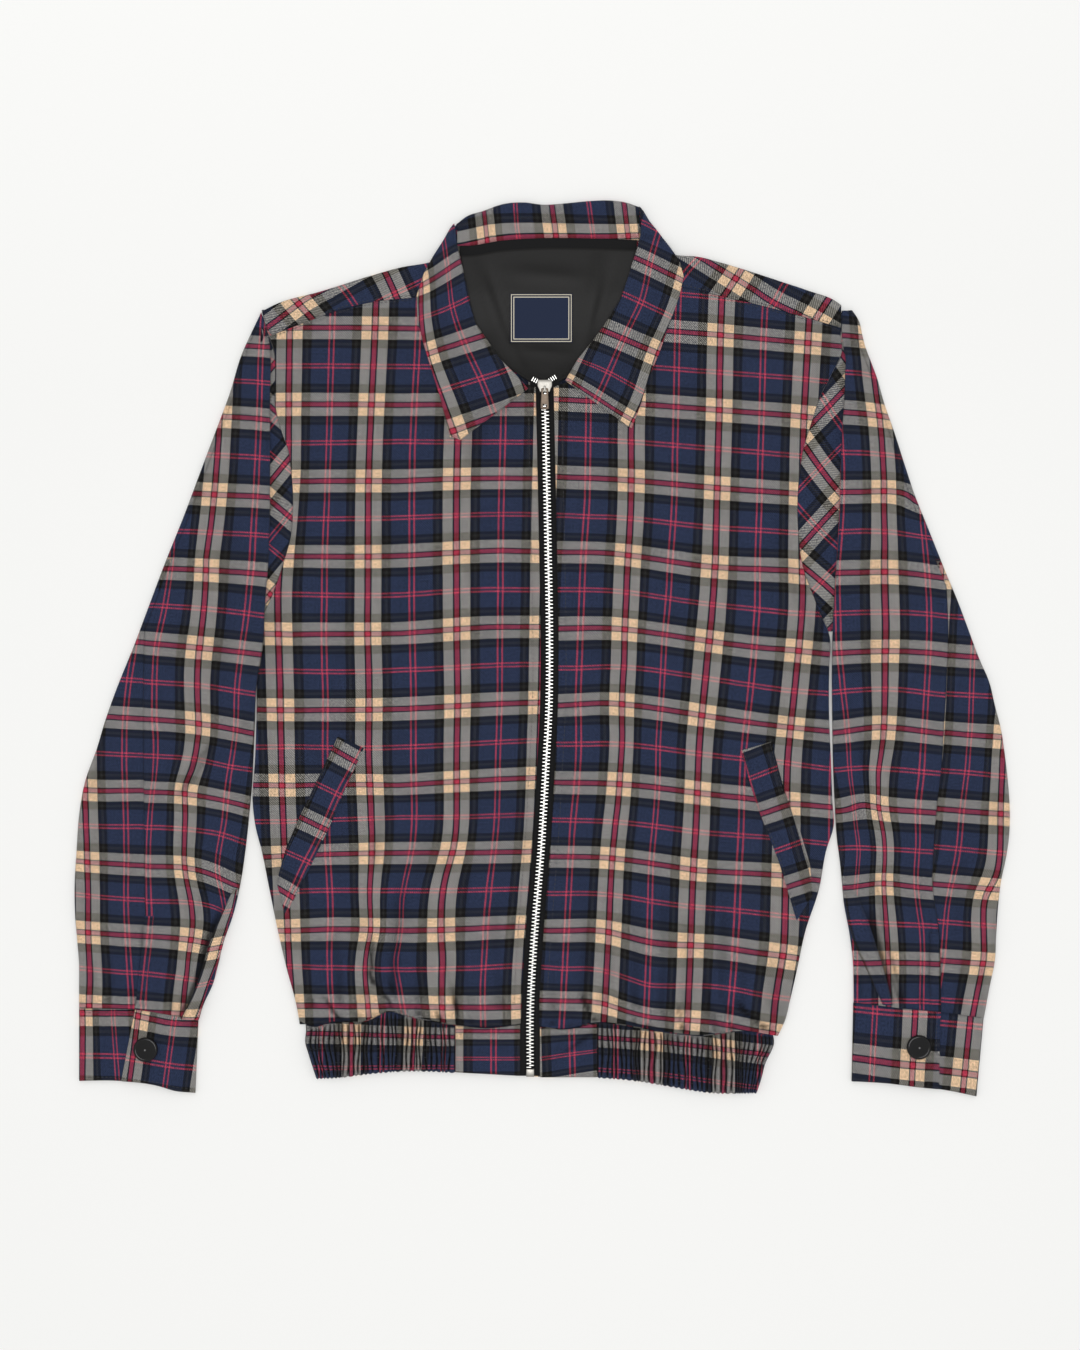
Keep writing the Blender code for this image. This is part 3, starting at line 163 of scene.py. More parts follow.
# Shoulder folds, the seams at the front of the yokes, and the neck edges of the fronts under the collar.
SHOULDER = {
    "R": rows(Point, (-223.7, 270), (-214, 275), (-178, 285.5), (-138, 298), (-114, 304.5), (-89, 309), (-78, 313)),
    "L": rows(Point,
        (94, 317), (108, 314.4), (126, 313), (142, 309), (190, 294), (214, 286), (234, 278.5), (239, 275)
    ),
}
YOKE_SEAM = {
    "R": rows(Point, (-217.8, 250.2), (-194, 259), (-154, 273), (-130, 278), (-99, 281), (-68, 287.6), (-66, 288)),
    "L": rows(Point, (80, 294), (82, 293.8), (111, 289), (142, 282), (174, 274.5), (206, 266), (238, 257)),
}
YOKE_NECK_END = {
    "R": rows(Point, (-78, 313), (-66, 288)),
    "L": rows(Point, (94, 317), (80, 294)),
}
NECK = {
    "R": rows(Point,
        (-65, 287), (-64, 285), (-61, 279), (-57, 264), (-49, 252), (-42, 240), (-32, 227), (-22, 217), (-5.4, 209)
    ),
    "L": rows(Point, (9.2, 209), (24, 216), (35, 228), (46, 242), (55, 255), (66, 274), (73, 286), (78, 292.4)),
}
BACK_TOP = rows(Point,
    (-220.8, 260), (-214, 264.4), (-178, 275), (-138, 287.4), (-114, 294), (-89, 298.4), (-80, 301), (-73.5, 303),
    (-64, 315), (-50, 322), (-30, 325.6), (0, 327), (39, 327), (62, 325.6), (78, 317), (87, 308.4), (96, 305.4),
    (108, 303.8), (126, 302.4), (142, 298.2), (190, 283.2), (214, 275.2), (234, 267.6), (238.7, 260)
)
# The seam between the body and the waistband, and the hem.
WAIST = rows(Point,
    (-194, -298), (-186, -301.5), (-164, -298), (-142, -298), (-122, -290), (-106, -294), (-86, -298), (-69, -301),
    (-42, -303), (-17, -300), (-3, -302), (19, -304), (43, -299), (78, -303), (102, -307), (126, -309), (162, -306),
    (188, -310)
)
BACK_WAIST = rows(Point, (-194, -300), (192, -300))
HEM = rows(Point,
    (-180, -343), (-162, -342), (-138, -339), (-114, -337), (-90, -337), (-70, -338), (-16, -341), (-2, -342),
    (44, -342), (78, -345), (102, -349), (134, -354), (172, -354.5)
)
BAND_SIDES = rows(Side,
    (-297, -193.6, 188), (-310, -191, 187), (-322, -187, 183), (-330, -184.5, 179), (-343, -180.5, 175.5),
    (-355, -178, 171.5)
)
BAND_TAB_ENDS = {"R": (-69.0, -17.6), "L": (-1.6, 44.0)}
# Collar: the back roll and neck seam, then rows across each leaf from its roll to its free edge.
BACK_ROLL = rows(Point,
    (-68, 340), (-62, 344), (-46, 350), (-30, 355.6), (-14, 356.8), (1, 355), (18, 356), (39, 358), (53, 358.4),
    (67, 356.6), (78, 353)
)
NECK_SEAM = rows(Point, (-68, 322), (-55, 322.4), (-37, 325.6), (-6, 328), (39, 328), (78, 326.6))
STAND_ENDS = (-67.6, 77.6)
BACK_FALL_EDGE = rows(Point, (-88, 296), (-60, 292), (70, 292), (108, 298))
BACK_FALL_SIDES = rows(Side,
    (359, -66, 76), (340, -68.4, 83), (334, -73, 88), (326, -77.4, 93.6), (312, -85.6, 105), (292, -92, 112)
)
LEAF = {
    "R": rows(CrossRow,
        (-70, 339.6, -73.4, 336.2), (-68.8, 333, -78, 328), (-68.2, 327, -81.6, 322), (-67, 319, -87, 313),
        (-64, 307, -94, 300), (-60, 291, -100, 282), (-57, 275, -99.4, 263), (-52.4, 259, -95, 245),
        (-43, 245.6, -88, 222), (-34, 232, -81, 200), (-22, 220, -73.6, 169.4), (-11, 207.6, -65, 167)
    ),
    "L": rows(CrossRow,
        (77.4, 353.2, 80.8, 350.4), (78.6, 346, 86, 341.6), (78.8, 340, 91, 335.6), (78.6, 331, 98.6, 325.4),
        (76, 320, 109.6, 309.6), (72, 308, 113, 297), (68, 295, 109.4, 281), (62.4, 279, 102.6, 262),
        (51, 260.6, 94, 237), (39.6, 245, 85, 216), (28.6, 231.4, 78.4, 194), (18.4, 214, 71.6, 176)
    ),
}
LEAF_RADIUS = 2.05
LEAF_LEAVES_SHOULDER_Y = {"R": 313.0, "L": 318.0}
NECK_TAPE_WIDTH = 8.0
NECK_TAPE_ENDS = (-65.8, 75.8)
LINING_SIDES = rows(Side,
    (322, -65.6, 75.8), (300, -64, 72.4), (285, -61.8, 68.6), (272, -58.4, 63), (260, -54, 56.6), (248, -46, 48.6),
    (236, -37.8, 39), (226, -28.4, 31), (216, -14, 18), (209, -5, 9), (203, -4.6, 8.8)
)
LINING_BOTTOM_Y = 204.0
LABEL_ENDS = (-25.6, 24.5)
LABEL_TOP_Y, LABEL_BOTTOM_Y = 283.8, 244.4
LABEL_SIZE = (50.1, 39.4)
# Bands of the label's woven frame: how far in from its edge each starts, in centimetres, and its colour.
LABEL_FRAME = [(0.0, "141A2C"), (0.08, "C9C2B0"), (0.15, "10172E"), (0.27, "D0C9B8"), (0.34, "16223C")]
# Pocket welts, in rows down the welt from its outer long edge to the one towards the zip.
WELT = {
    "R": rows(CrossRow,
        (-163, -70, -142, -79), (-178, -102, -156, -109), (-194, -135, -170, -143), (-204.6, -160, -186, -176),
        (-212, -186, -205, -214)
    ),
    "L": rows(CrossRow,
        (183, -74, 159, -81), (193, -112, 168, -114), (204.6, -141, 178, -142), (214, -172, 188.4, -168),
        (216, -197, 203.4, -217)
    ),
}
# Cuffs: the seam to the sleeve, the bottom, the two folded edges, and the end of the overlap.
CUFF_TOP = {
    "R": rows(Point, (-370, -287.3), (-345, -287.6), (-323, -288.4), (-300, -292), (-274.5, -297.2)),
    "L": rows(Point, (353, -295.2), (319, -290.2), (286, -287), (249, -282.6)),
}
CUFF_BOTTOM = {
    "R": rows(Point, (-370, -345), (-339, -345), (-306, -349), (-293, -353), (-277, -354.6)),
    "L": rows(Point, (347.4, -357.4), (317, -351.6), (301, -350), (277, -347), (247.4, -345.4)),
}
CUFF_SIDES = {
    "R": ([Point(-370, -280), Point(-370, -360)], [Point(-274.3, -290), Point(-277, -355)]),
    "L": ([Point(353.4, -290), Point(347.2, -358)], [Point(248.8, -280), Point(247.4, -346)]),
}
CUFF_OVERLAP_END = {"R": (-325.0, -336.0), "L": (318.4, 317.0)}
CUFF_UNDERLAP = 26.0
CUFF_STEP = 2.3          # how far the overlap rises to lie on the underlap
BUTTONS = {"R": Point(-316, -319.4), "L": Point(300.4, -317.6)}
PLACKETS = {"R": (Point(-313.2, -213.0), Point(-320.6, -283.0)), "L": (Point(313.4, -226.0), Point(313.4, -284.0))}
PLACKET_WIDTH = 7.0

# The largest folds: a soft ridge (height above 0) or trough (below 0) along a line.
SLEEVE_FOLDS = rows(Fold,
    (-238, 120, -262, -60, 16, -0.7), (-270, 60, -296, -70, 22, 0.7), (-270, -76, -286, -113, 12, -1.1),
    (-306, -120, -330, -240, 24, 0.7), (-270, -190, -279, -262, 9, -1.4), (-258, -208, -287, -296, 9, 1),
    (-338, -190, -346, -290, 20, -0.8), (262, -140, 268, -286, 9, -1.4), (246, -204, 284, -290, 12, 1),
    (280, 60, 300, -80, 22, 0.7), (256, 120, 262, -60, 16, -0.7), (300, -110, 296, -250, 26, 0.6),
    (340, -150, 336, -290, 18, -0.8)
)
BODY_FOLDS = rows(Fold,
    (-170, 230, -186, -30, 34, 0.5), (-120, 150, -112, -120, 40, -0.5), (-70, 60, -60, -250, 34, 0.5),
    (-150, -120, -130, -284, 26, -0.6), (-34, 160, -26, -180, 30, -0.4), (60, 170, 52, -200, 40, 0.5),
    (110, 200, 120, -150, 34, -0.5), (176, 200, 190, -40, 30, 0.5), (140, -140, 120, -290, 28, -0.6),
    (86, -150, 80, -290, 26, 0.5)
)

UP = np.array([0.0, 0.0, 1.0])
FINE_CURL = [math.radians(a) for a in np.linspace(-90, 90, 11)]
SLEEVE_LAPS_BELOW = {"R": 236.0, "L": 230.0}   # from here down the sleeve folds over its armhole
TURN_TOP_Y = {"R": 271.0, "L": 269.0}
SEAM_AT_EDGE_Y = 72.0   # above this the sleeve's seam runs along its outer edge
LEAF_CLEARANCE = 0.7
SEAM_DROP, SEAM_REACH = 0.7, 2.6   # how the cloth turns down into a seam
# Extra points next to an edge, to round it: on large pieces, on cuffs and on narrow trimmings.
NEAR_EDGE, CUFF_EDGE, NARROW_EDGE = (0.5, 1.1, 1.8, 2.8), (0.4, 0.9, 1.6, 2.4), (0.4, 0.9, 1.6)
FINE, COARSE = 2.6, 4.5            # spacing of the points on faces that show, and on the back
# Usual widths and lengths of the pieces, for the spacing of their points and the distance from their edges.
FRONT_WIDTH, BACK_WIDTH, BODY_LENGTH = 200, 440, 560
YOKE_WIDTH, SLEEVE_LENGTH, CUFF_DEPTH, LEAF_LENGTH = 150, 565, 60, 190
TAB_DEPTH, BAND_DEPTH = 39, 41
WELT_WIDTH, WELT_LENGTH = 24, 138
ZIP_TOP_Y, ZIP_LENGTH = 214.0, 555.0
ELASTIC_ROWS = (0.27, 0.43, 0.58, 0.73, 0.88)   # stitched rows of the elastic, as shares of its depth

# Loose waves over all the cloth, then the puffs above a gathered seam.
RIPPLES = rows(Wave,
    (12, 61, 0.3, 0.4), (-38, 87, 0.36, 2.1), (71, 47, 0.22, 4), (103, 73, 0.3, 1.2), (150, 39, 0.15, 5.1)
)
GATHERS = rows(Gather, (13, 0.9, 13, 1.6, 0.3), (21.5, 1.15, 26, 2.6, 1.9), (37, 0.95, 44, 4, 4.2))
# Narrower creases, on top of the largest folds.
BODY_CREASES = rows(Fold,
    (-78, -152, -96, -196, 9, 0.9), (-128, -120, -134, -176, 9, -0.8), (-112, -188, -120, -286, 9, -1.2),
    (-132, -206, -130, -286, 10, 1), (-84, -190, -88, -286, 8, 1), (-60, -170, -66, -286, 9, -0.9),
    (-30, -200, -28, -290, 7, 0.7), (-168, -220, -160, -290, 9, -1), (-184, -230, -178, -288, 8, 0.8),
    (36, -210, 34, -290, 8, -0.8), (62, -200, 66, -290, 9, 0.9), (98, -196, 96, -296, 9, -1),
    (124, -214, 122, -296, 8, 0.9), (146, -206, 142, -296, 9, -1), (172, -220, 168, -296, 9, 0.9),
    (206, 200, 222, 120, 12, 0.6), (-190, 100, -222, 10, 12, -0.6), (190, 90, 222, -4, 12, -0.6),
    (-226, -60, -190, -84, 10, 0.5), (226, -50, 190, -70, 10, 0.5), (-136, -236, -136, -264, 3.4, -2.4),
    (-135, -264, -124, -279, 3.4, -2.6), (-128, -240, -126, -262, 7, 1.4), (-70, -278, -66, -300, 3, -2.4),
    (-77, -272, -75, -300, 6, 1.2), (-171, -282, -160, -300, 3, -2.2), (-117, -278, -111, -294, 3, -2),
    (-84, -290, -78, -304, 3, -1.6), (-182, -286, -178, -302, 3, -1.6), (-100, -284, -98, -300, 3.4, -1.4),
    (35, -284, 44, -300, 3, -2.4), (28, -278, 33, -298, 6, 1), (62, -286, 66, -304, 3, -1.5),
    (80, -290, 86, -306, 3.4, -1.6), (108, -286, 112, -306, 3.4, -1.6), (131, -262, 133, -300, 5, -1.2),
    (148, -288, 152, -308, 3, -1.6), (163, -290, 179, -305, 3.6, -3), (171, -282, 169, -298, 3.2, -2),
    (177, -288, 187, -303, 6, 1.8), (20, -321, 43, -304, 3, -1.6), (24, -328, 44, -314, 6, 0.8)
)
PLEATS = {
    "R": rows(PleatRow,
        (-247, -192, -243.6, -192, 62, 69, -192), (-254, -208, -246.4, -207, 58, 69, -208),
        (-260.8, -222, -250.6, -220, 57, 69, -222), (-266.4, -238, -255.4, -236, 57, 69, -238),
        (-270.4, -252, -259, -250, 57, 69, -252), (-274.4, -265, -264.4, -263, 57, 69, -266),
        (-279.4, -278, -268.6, -276, 58, 69, -280), (-288, -295.4, -274, -296.4, 59, 70, -300)
    ),
    "L": rows(PleatRow,
        (242, -196, 250, -192, 17, 27, -196), (243, -208, 255.4, -204, 17, 29, -208),
        (245, -220, 259.6, -216, 17, 30, -220), (248.8, -234, 264.6, -231, 17, 30, -234),
        (256.6, -251, 270.6, -249, 17, 30, -251), (264.2, -267, 275.4, -266, 18, 29, -267),
        (272, -284, 279.6, -284, 20, 28, -285)
    ),
}
PLEAT_TURNS = {"R": (-0.2, 1.0), "L": (0.0, 1.2)}   # where the strip dips under the sleeve, in widths of the strip
PLEAT_PAINTED_SHADE_WIDTH = {"R": (6.0, 5.0), "L": (10.0, 2.5)}   # width of the painted shade along the pleat's free edge, high and low
BAND_MIDDLE_Y = -318.0
PLEAT_RISE = 2.7
SLEEVE_CREASES = rows(Fold,
    (-270, -196, -273, -240, 4.5, -2.2), (-273, -240, -288, -286, 4.5, -2.8), (264, -190, 273, -236, 5, -3.2),
    (273, -236, 288, -284, 4.5, -3.4), (286, -230, 284, -286, 5, 1), (-319, -214, -320, -282, 3, -0.9),
    (310, -222, 309, -284, 3, -0.9), (-264, -76, -286, -112, 5, -1.5), (-272, -68, -294, -104, 6, 0.9),
    (-246, -70, -232, -60, 8, -0.5), (-286, -150, -282, -230, 9, -0.8), (-340, -60, -352, -130, 10, 0.6),
    (-262, 60, -278, -20, 10, 0.6), (262, -60, 272, -110, 7, 1), (254, -70, 262, -120, 6, -1),
    (300, -130, 302, -230, 9, -0.7), (350, -100, 344, -200, 10, 0.6), (282, 90, 288, 0, 10, 0.6),
    (310, 70, 330, -20, 10, -0.5)
)
LINING_CREASES = rows(Fold,
    (-50, 300, -30, 236, 8, 0.9), (-40, 296, -16, 228, 6, -0.8), (44, 306, 34, 240, 8, 0.9),
    (56, 300, 40, 252, 6, -0.8), (-20, 300, 30, 296, 9, 0.6), (-10, 238, 16, 236, 5, 0.7)
)


TWILL_PITCH = 1.9        # drawn coarser than the cloth's own 0.6, which is too fine to show
TWILL_CONTRAST = 0.3
HEATHER = 0.8            # how much the yarns' unevenness moves the weave's colour
WEFT_SHARE = 0.45 - 0.5 * HEATHER
HOLLOW_ROWS = 3          # rows of points to each side that a hollow is measured against
FULL_PAINTED_SHADE_DEPTH = 1.1        # a hollow this deep, in millimetres, gets the full painted shade
PAINTED_SHADE_STRENGTH = 0.86    # painted shade: how much the deepest hollows darken the colour
DARK_COVERS = 0.15       # a black yarn covers more than the one that it crosses
PALE_CROSSING = (1.7, 1.26, 0.92, 1.0)
FULL_RIB, RIB_SINK = 3.2, 1.1   # height of the elastic's ribs, and how far their valleys lie below its face
CREASES_STAND = 1.45       # how much the narrow creases stand up, as a share of their tables
PUFF, SEAM_SINK = 1.7, 1.7      # how the gathered cloth stands up above the waistband, and sinks at its seam
TOOTH_PITCH = 2.9        # along one side of the zip
TOOTH_LENGTH, TOOTH_WIDTH = 3.9, 0.95
BUTTON_TURNS = rows(Turn,
    (7.4, 0), (8.8, 0.5), (9.5, 1.3), (9.8, 2.3), (9.7, 3.1), (9.3, 3.8), (8.8, 4.2), (8.2, 4.4), (7.6, 4.3),
    (7.1, 4.05), (6.6, 3.75), (5.3, 3.18), (4, 2.62), (2.7, 2.06), (1.4, 1.6), (0.4, 1.45)
)
ROOM_LIGHT = 0.65
LAMP_POWER = 35.0
KEY_POWER = 268.0
SLEEVE_LEAST = 2 * CLOTH + 0.5   # a crease in the upper cloth never sinks into the cloth below
BODY_LEAST = 2 * CLOTH + 0.2
BAND_INSET = 4.0         # how far the waistband draws in below the blouse of the body, at each side
STITCH_PITCH, STITCH_LENGTH, STITCH_WIDTH = 3.4, 2.5, 0.5

# The check: a symmetric sett. Distances are from the middle of a band to the far edge of each stripe.
WARP_HALF, WEFT_HALF = 35.0, 30.0
WARP_STRIPES = rows(Stripe,
    (1.7, "dark_red"), (2.9, "black"), (10.7, "pale"), (13.6, "black"), (15.8, "slate"), (18.4, "black"),
    (32.4, "navy"), (33.7, "red"), (35, "navy")
)
WEFT_STRIPES = rows(Stripe,
    (1.5, "dark_red"), (2.4, "black"), (9, "pale"), (11.8, "black"), (13.8, "slate"), (16, "black"), (28, "navy"),
    (29.2, "red"), (30, "navy")
)
YARN = {
    "dark_red": "B2374C", "red": "C04058", "black": "0A0908", "pale": "AEAAA0", "slate": "232221", "navy": "252F48",
}
STRENGTH = {"pale": 1.0, "black": 0.5, "slate": 0.5}   # read by the weave: 1 is tinted where two cross, 0.5 covers

# How the check runs on each piece, by lines of the warp and the weft: a line's distance from the middle of a band, then
# x and y of the points that it runs through. A whole band is 2 * WARP_HALF or 2 * WEFT_HALF from the next.
CHECKS = {
    "front_R": Check([
        (-70, -201.6, 247, -203, 135, -211, 47, -210.4, 10, -208.8, -51, -206.4, -143, -203, -229, -200.8, -265),
        (-35, -171.2, 135, -173.6, 39, -172.8, -41, -171.2, -161, -169.6, -233),
        (0, -133.6, 247, -136, 199, -138.4, 135, -139.2, 15, -138.4, -81, -136, -169, -136.8, -225, -139.2, -281),
        (35, -103.2, 167, -104, 39, -102.4, -105, -105.6, -169, -112, -201, -116.8, -249),
        (70, -67.2, 167, -68, 39, -67.2, -41, -68, -105, -69.6, -153, -77.6, -185, -79.2, -249),
        (105, -31.2, 167, -33.6, 7, -35.2, -89, -37.6, -153, -43.2, -201, -47.2, -265),
    ], [
        (240, -113, 256), (210, -200, 226, -113, 225.6), (180, -113, 194.8, -13, 195), (150, -113, 165.6, -13, 165),
        (120, -200, 134, -113, 134), (90, -113, 104.8), (60, -200, 74, -113, 74.4, -33, 78.4),
        (30, -200, 43.7, -113, 43.2, -17, 47.2), (0, -200, 11.5, -113, 12.4, -33, 17.6),
        (-30, -200, -17.6, -113, -16.8, -33, -12.8), (-60, -200, -49, -113, -48, -17, -43.2),
        (-90, -200, -78, -113, -78.4, -49, -75.2), (-120, -200, -109, -113, -108.8, -33, -104),
        (-150, -200, -137.6, -113, -134.4), (-180, -113, -162.8), (-210, -186, -192.8, -113, -192.8),
        (-240, -198, -225, -113, -224.8), (-270, -200, -253.7, -113, -256, -50, -254.5, -25, -253),
        (-300, -197, -285, -113, -285, -30, -286),
    ]),
    "front_L": Check([
        (-35, 36.8, 167, 36, 119, 32.8, 71, 30.4, 7, 28.8, -41, 24.8, -137, 19.2, -233, 16.8, -281),
        (0, 71.2, 175, 69.6, 87, 67.2, 39, 65.6, -9, 64, -73, 60.8, -121, 56, -169, 53.6, -217, 50.4, -281),
        (35, 107.2, 199, 105.6, 119, 102.4, 71, 97.6, 7, 96, -25, 92.8, -73, 87.2, -169, 84.8, -249),
        (70, 140, 135, 138.4, 71, 135.2, 23, 128.8, -41, 124, -113, 119.2, -217, 116.8, -281),
        (105, 176.8, 247, 175.2, 183, 172, 71, 165.6, -41, 159.2, -137, 156.8, -185, 154.4, -233),
        (140, 212.8, 255, 208.8, 175, 208, 39, 204, -9, 200.8, -41, 196, -89, 192.8, -241, 186.4, -281),
    ], [
        (240, 204, 244.8), (210, 201, 216.2), (180, 204, 186, 46.4, 197.6), (150, 200, 154.6, 36, 167.2),
        (120, 200, 124.3, 126.4, 129.6, 46.4, 136), (90, 200, 93, 36, 105.6),
        (60, 198.4, 62.7, 126.4, 66.4, 46.4, 76.8), (30, 198, 28.8, 36, 47.2),
        (0, 198.4, -0.8, 126.4, 7.2, 46.4, 16.8), (-30, 194, -32.8, 32, -15.2),
        (-60, 196, -62.4, 126.4, -52.8, 46.4, -43.2), (-90, 192, -90.4, 30, -76),
        (-120, 194, -123.2, 126.4, -115.2, 46.4, -107.2), (-150, 190, -151.2, 26, -136.8),
        (-180, 192, -180.8, 126.4, -176.8, 46.4, -166.4), (-210, 190, -212.8, 22, -195.2),
        (-240, 190, -244.8, 126.4, -236.8, 46.4, -224.8), (-270, 186, -278, 84, -268, 20, -255.2),
        (-300, 126.4, -296.8, 46.4, -282.4),
    ]),
    "sleeve_front_R": Check([
        (-35, -296, 71, -301, 34, -307.6, 2, -309.2, -57, -309.6, -105, -313.6, -201, -317, -259),
        (0, -261.6, 123, -268, 71, -273.2, 2, -274, -66, -280, -97, -284.8, -109, -284.8, -128, -281, -198,
         -279.4, -225, -283.4, -258, -286.8, -291),
        (18, -265, -214, -267.6, -236, -272, -258),
        (35, -224, 239, -225.6, 183, -228, 127, -231.2, 71, -236, 23, -243.2, -33, -248, -89, -253.6, -137,
         -259.2, -177),
    ], [
        (240, -229.6, 241.6), (180, -241.6, 184.8), (120, -261.6, 123.2), (60, -300, 64.3, -223.4, 59.7),
        (30, -303, 34.4, -269.6, 32.2, -223.4, 26.8), (0, -313.6, 4.4, -274, 0.8, -223.4, -4.6),
        (-30, -307.7, -26.8, -274, -29, -243.4, -33.6, -228, -36),
        (-60, -316.8, -56, -274, -59.7, -246.4, -64.2, -231, -67.4),
        (-90, -309, -85.6, -277, -88, -248, -94.2, -233, -96.4),
        (-120, -316.8, -114.2, -287.8, -115.5, -261.8, -119.4, -234, -126.2),
        (-150, -307.7, -142.4, -284.8, -143.8, -257, -147.7, -237, -154.6),
        (-180, -313.6, -173.6, -281.6, -175.2, -247, -188),
        (-210, -312.8, -201.4, -286.4, -202, -262.4, -206, -249, -212), (-240, -315.2, -229.2, -279.4, -232.6),
        (-270, -316.8, -259, -286, -263), (-300, -311.3, -290.2, -290, -291),
    ]),
    "sleeve_back_R": Check([
        (35, -326, -1, -329.8, -25, -333, -59, -333, -105, -332, -137, -332, -198, -331.2, -225, -329.2, -259,
         -328, -280),
        (0, -364.8, -121, -362.4, -198, -362.4, -225, -361, -264, -361.6, -283),
    ], [
        (0, -323, 5.4), (-30, -333.7, -24.5), (-60, -344.4, -54.4, -319.2, -55.8), (-90, -352, -83.4, -321.6, -84.8),
        (-120, -350.6, -113.3, -320.8, -113), (-150, -350.6, -141.6, -320.8, -141.8),
        (-180, -361.6, -170.4, -321.6, -172.8), (-210, -372.3, -196, -321.6, -200),
        (-240, -371.2, -225.9, -328.8, -228.6), (-270, -368.4, -255.1, -329.8, -258.4),
        (-300, -365.6, -284.8, -329.8, -285.6),
    ]),
    "sleeve_front_L": Check([
        (-35, 235.2, 63, 236.8, -1, 240, -33, 244.8, -81, 248.8, -121, 252.8, -161),
        (0, 266.4, 207, 269.6, 183, 272.8, 135, 273.6, 87, 274.4, 15, 273.6, -41, 272, -73, 268.4, -99, 268.8, -127,
         272.8, -182, 275.6, -232, 276.8, -259),
        (35, 304, 103, 308.8, 39, 308.8, 7, 306.4, -41, 302.4, -105, 300, -153, 298.4, -185, 303, -225, 303.2, -281),
    ], [
        (240, 254.4, 249.2), (210, 251.2, 220), (180, 254.4, 187.6), (150, 249.4, 156.4, 284, 153.8),
        (120, 254.4, 125.2, 291, 123.4, 301.4, 116.5), (90, 251.2, 93.9, 280.6, 93, 310, 88.8),
        (60, 254.4, 61, 274.2, 61.6, 294.4, 60.1, 318.8, 56.8), (30, 238.4, 28.5, 274.2, 29.4, 310, 27.7),
        (0, 238.4, -3.2, 274.2, -1.8, 310, -3.2), (-30, 238.4, -34, 274.2, -32, 310, -35.4),
        (-60, 238.4, -66.4, 268.7, -62.4, 304.5, -65.6), (-90, 238.4, -96.2, 268.8, -95.4, 304.5, -98.2),
        (-120, 243.9, -128.5, 255, -124.8, 270, -127.1, 301.6, -129.8),
        (-150, 243.9, -158.7, 268.7, -159.6, 303.1, -161.5), (-180, 246.6, -190.4, 272.8, -187.1, 301.6, -190.4),
        (-210, 252, -217.9, 274.2, -219.4, 304.5, -220.7), (-240, 255, -251, 276.8, -250.4, 303.2, -251),
        (-270, 279.7, -280.8, 304.5, -281.3),
    ]),
    "sleeve_back_L": Check([
        (35, 344.4, 2, 341.6, -66, 338.9, -99, 334.8, -133, 329.3, -177, 323.8, -204),
        (70, 367.8, -83, 366.4, -127, 362.3, -182, 354, -198, 352.7, -246, 345.6, -284),
    ], [
        (30, 329.3, 25.8), (0, 348.6, -6.7), (-30, 356.8, -37.6), (-60, 341.6, -68.7, 370.4, -70.6),
        (-90, 340.3, -98.7, 370.4, -101.8), (-120, 334.8, -129.3, 370.4, -132), (-150, 332, -159.6, 365, -162.9),
        (-180, 326.4, -189, 359.6, -191.8), (-210, 321, -217.9, 359.6, -221.3), (-240, 329.3, -249.6, 354, -251.5),
        (-270, 334.8, -281.3),
    ]),
    "yoke_R": Check([
        (0, -196.7, 278.4, -182.4, 262), (35, -160, 289.6, -149.8, 275.4), (70, -125.3, 300.8, -115, 278.4),
    ], [
        (0, -218, 258, -202.8, 269.2, -186.5, 281, -178.4, 285), (-30, -126.3, 279.4, -100.8, 291.2),
    ]),
    "yoke_L": Check([
        (-35, 123.2, 309.8, 117.9, 304), (0, 158.6, 302, 146, 282.6), (35, 192.6, 289.4, 186.7, 278.7),
        (70, 228.4, 278.7, 219.7, 265.2),
    ], [
        (0, 131.5, 309.8, 144, 302, 153.8, 296.2, 170.2, 286, 184.8, 276.3, 202.2, 268),
        (-9, 121.8, 304, 139.2, 293.3),
    ]),
    "sleeve_turn_L": Check([
        (35, 225, 199.8, 231.2, 189.4), (0, 210.3, 161.6, 234.6, 128.6), (-35, 205, 113, 232, 85.3),
        (-70, 210.3, 64.5, 225, 52.3),
    ], [
        (60, 239.8, 205, 213, 177.2), (30, 226.8, 149.4, 205, 127), (0, 236.4, 114.8, 205, 80),
    ]),
    "sleeve_turn_R": Check([
        (0, -232, 25, -203, 61), (70, -232, 115, -203, 151),
    ], [
        (0, -217.6, 44, -232, 56), (60, -217.6, 119, -232, 131),
    ]),
    "leaf_R": Check([
        (0, -96.6, 291, -96.4, 268.8, -92.3, 235, -82.7, 205.6, -73.2, 180),
        (35, -76, 308, -72.3, 276.5, -64.6, 250.5, -49.8, 217.6, -39.4, 191.4),
    ], [
        (60, -95, 290.4, -63.7, 309.4), (30, -98.4, 263.4, -58.5, 279.2), (0, -92.3, 235, -44.6, 250.5),
        (-30, -82.7, 205.4, -27.2, 222.7), (-60, -70.6, 174, -36, 186.4),
    ]),
    "leaf_L": Check([
        (0, 110.7, 276.5, 94.2, 238.4, 82, 198.4, 72.8, 179),
        (-35, 85.6, 306, 79.5, 278, 66.4, 250.5, 52.6, 219, 43.9, 200),
    ], [
        (60, 108, 295.6, 78.4, 309.6), (30, 101.2, 266, 63, 283.4), (0, 94.2, 235, 46.6, 254.8),
        (-30, 80.4, 205.4, 26.6, 231.4), (-60, 71.7, 182.8, 21.4, 214),
    ]),
    "stand": Check([
        (0, -63, 321.5, -48, 324.8, -37, 327, -24, 328.6, 12, 329.4, 70, 330), (14, -44, 342, 10, 343, 68, 342),
    ], [
        (0, -44.8, 336), (30, -20, 336), (60, 10.4, 336), (90, 40, 336), (120, 68, 336),
    ]),
    "cuff_under_R": Check([
        (0, -366.4, -297, -366.8, -343), (35, -342.5, -295, -339.2, -342),
    ], [
        (0, -365.6, -291, -326.4, -291), (-30, -367, -324.8, -332.8, -325.4),
    ]),
    "cuff_over_R": Check([
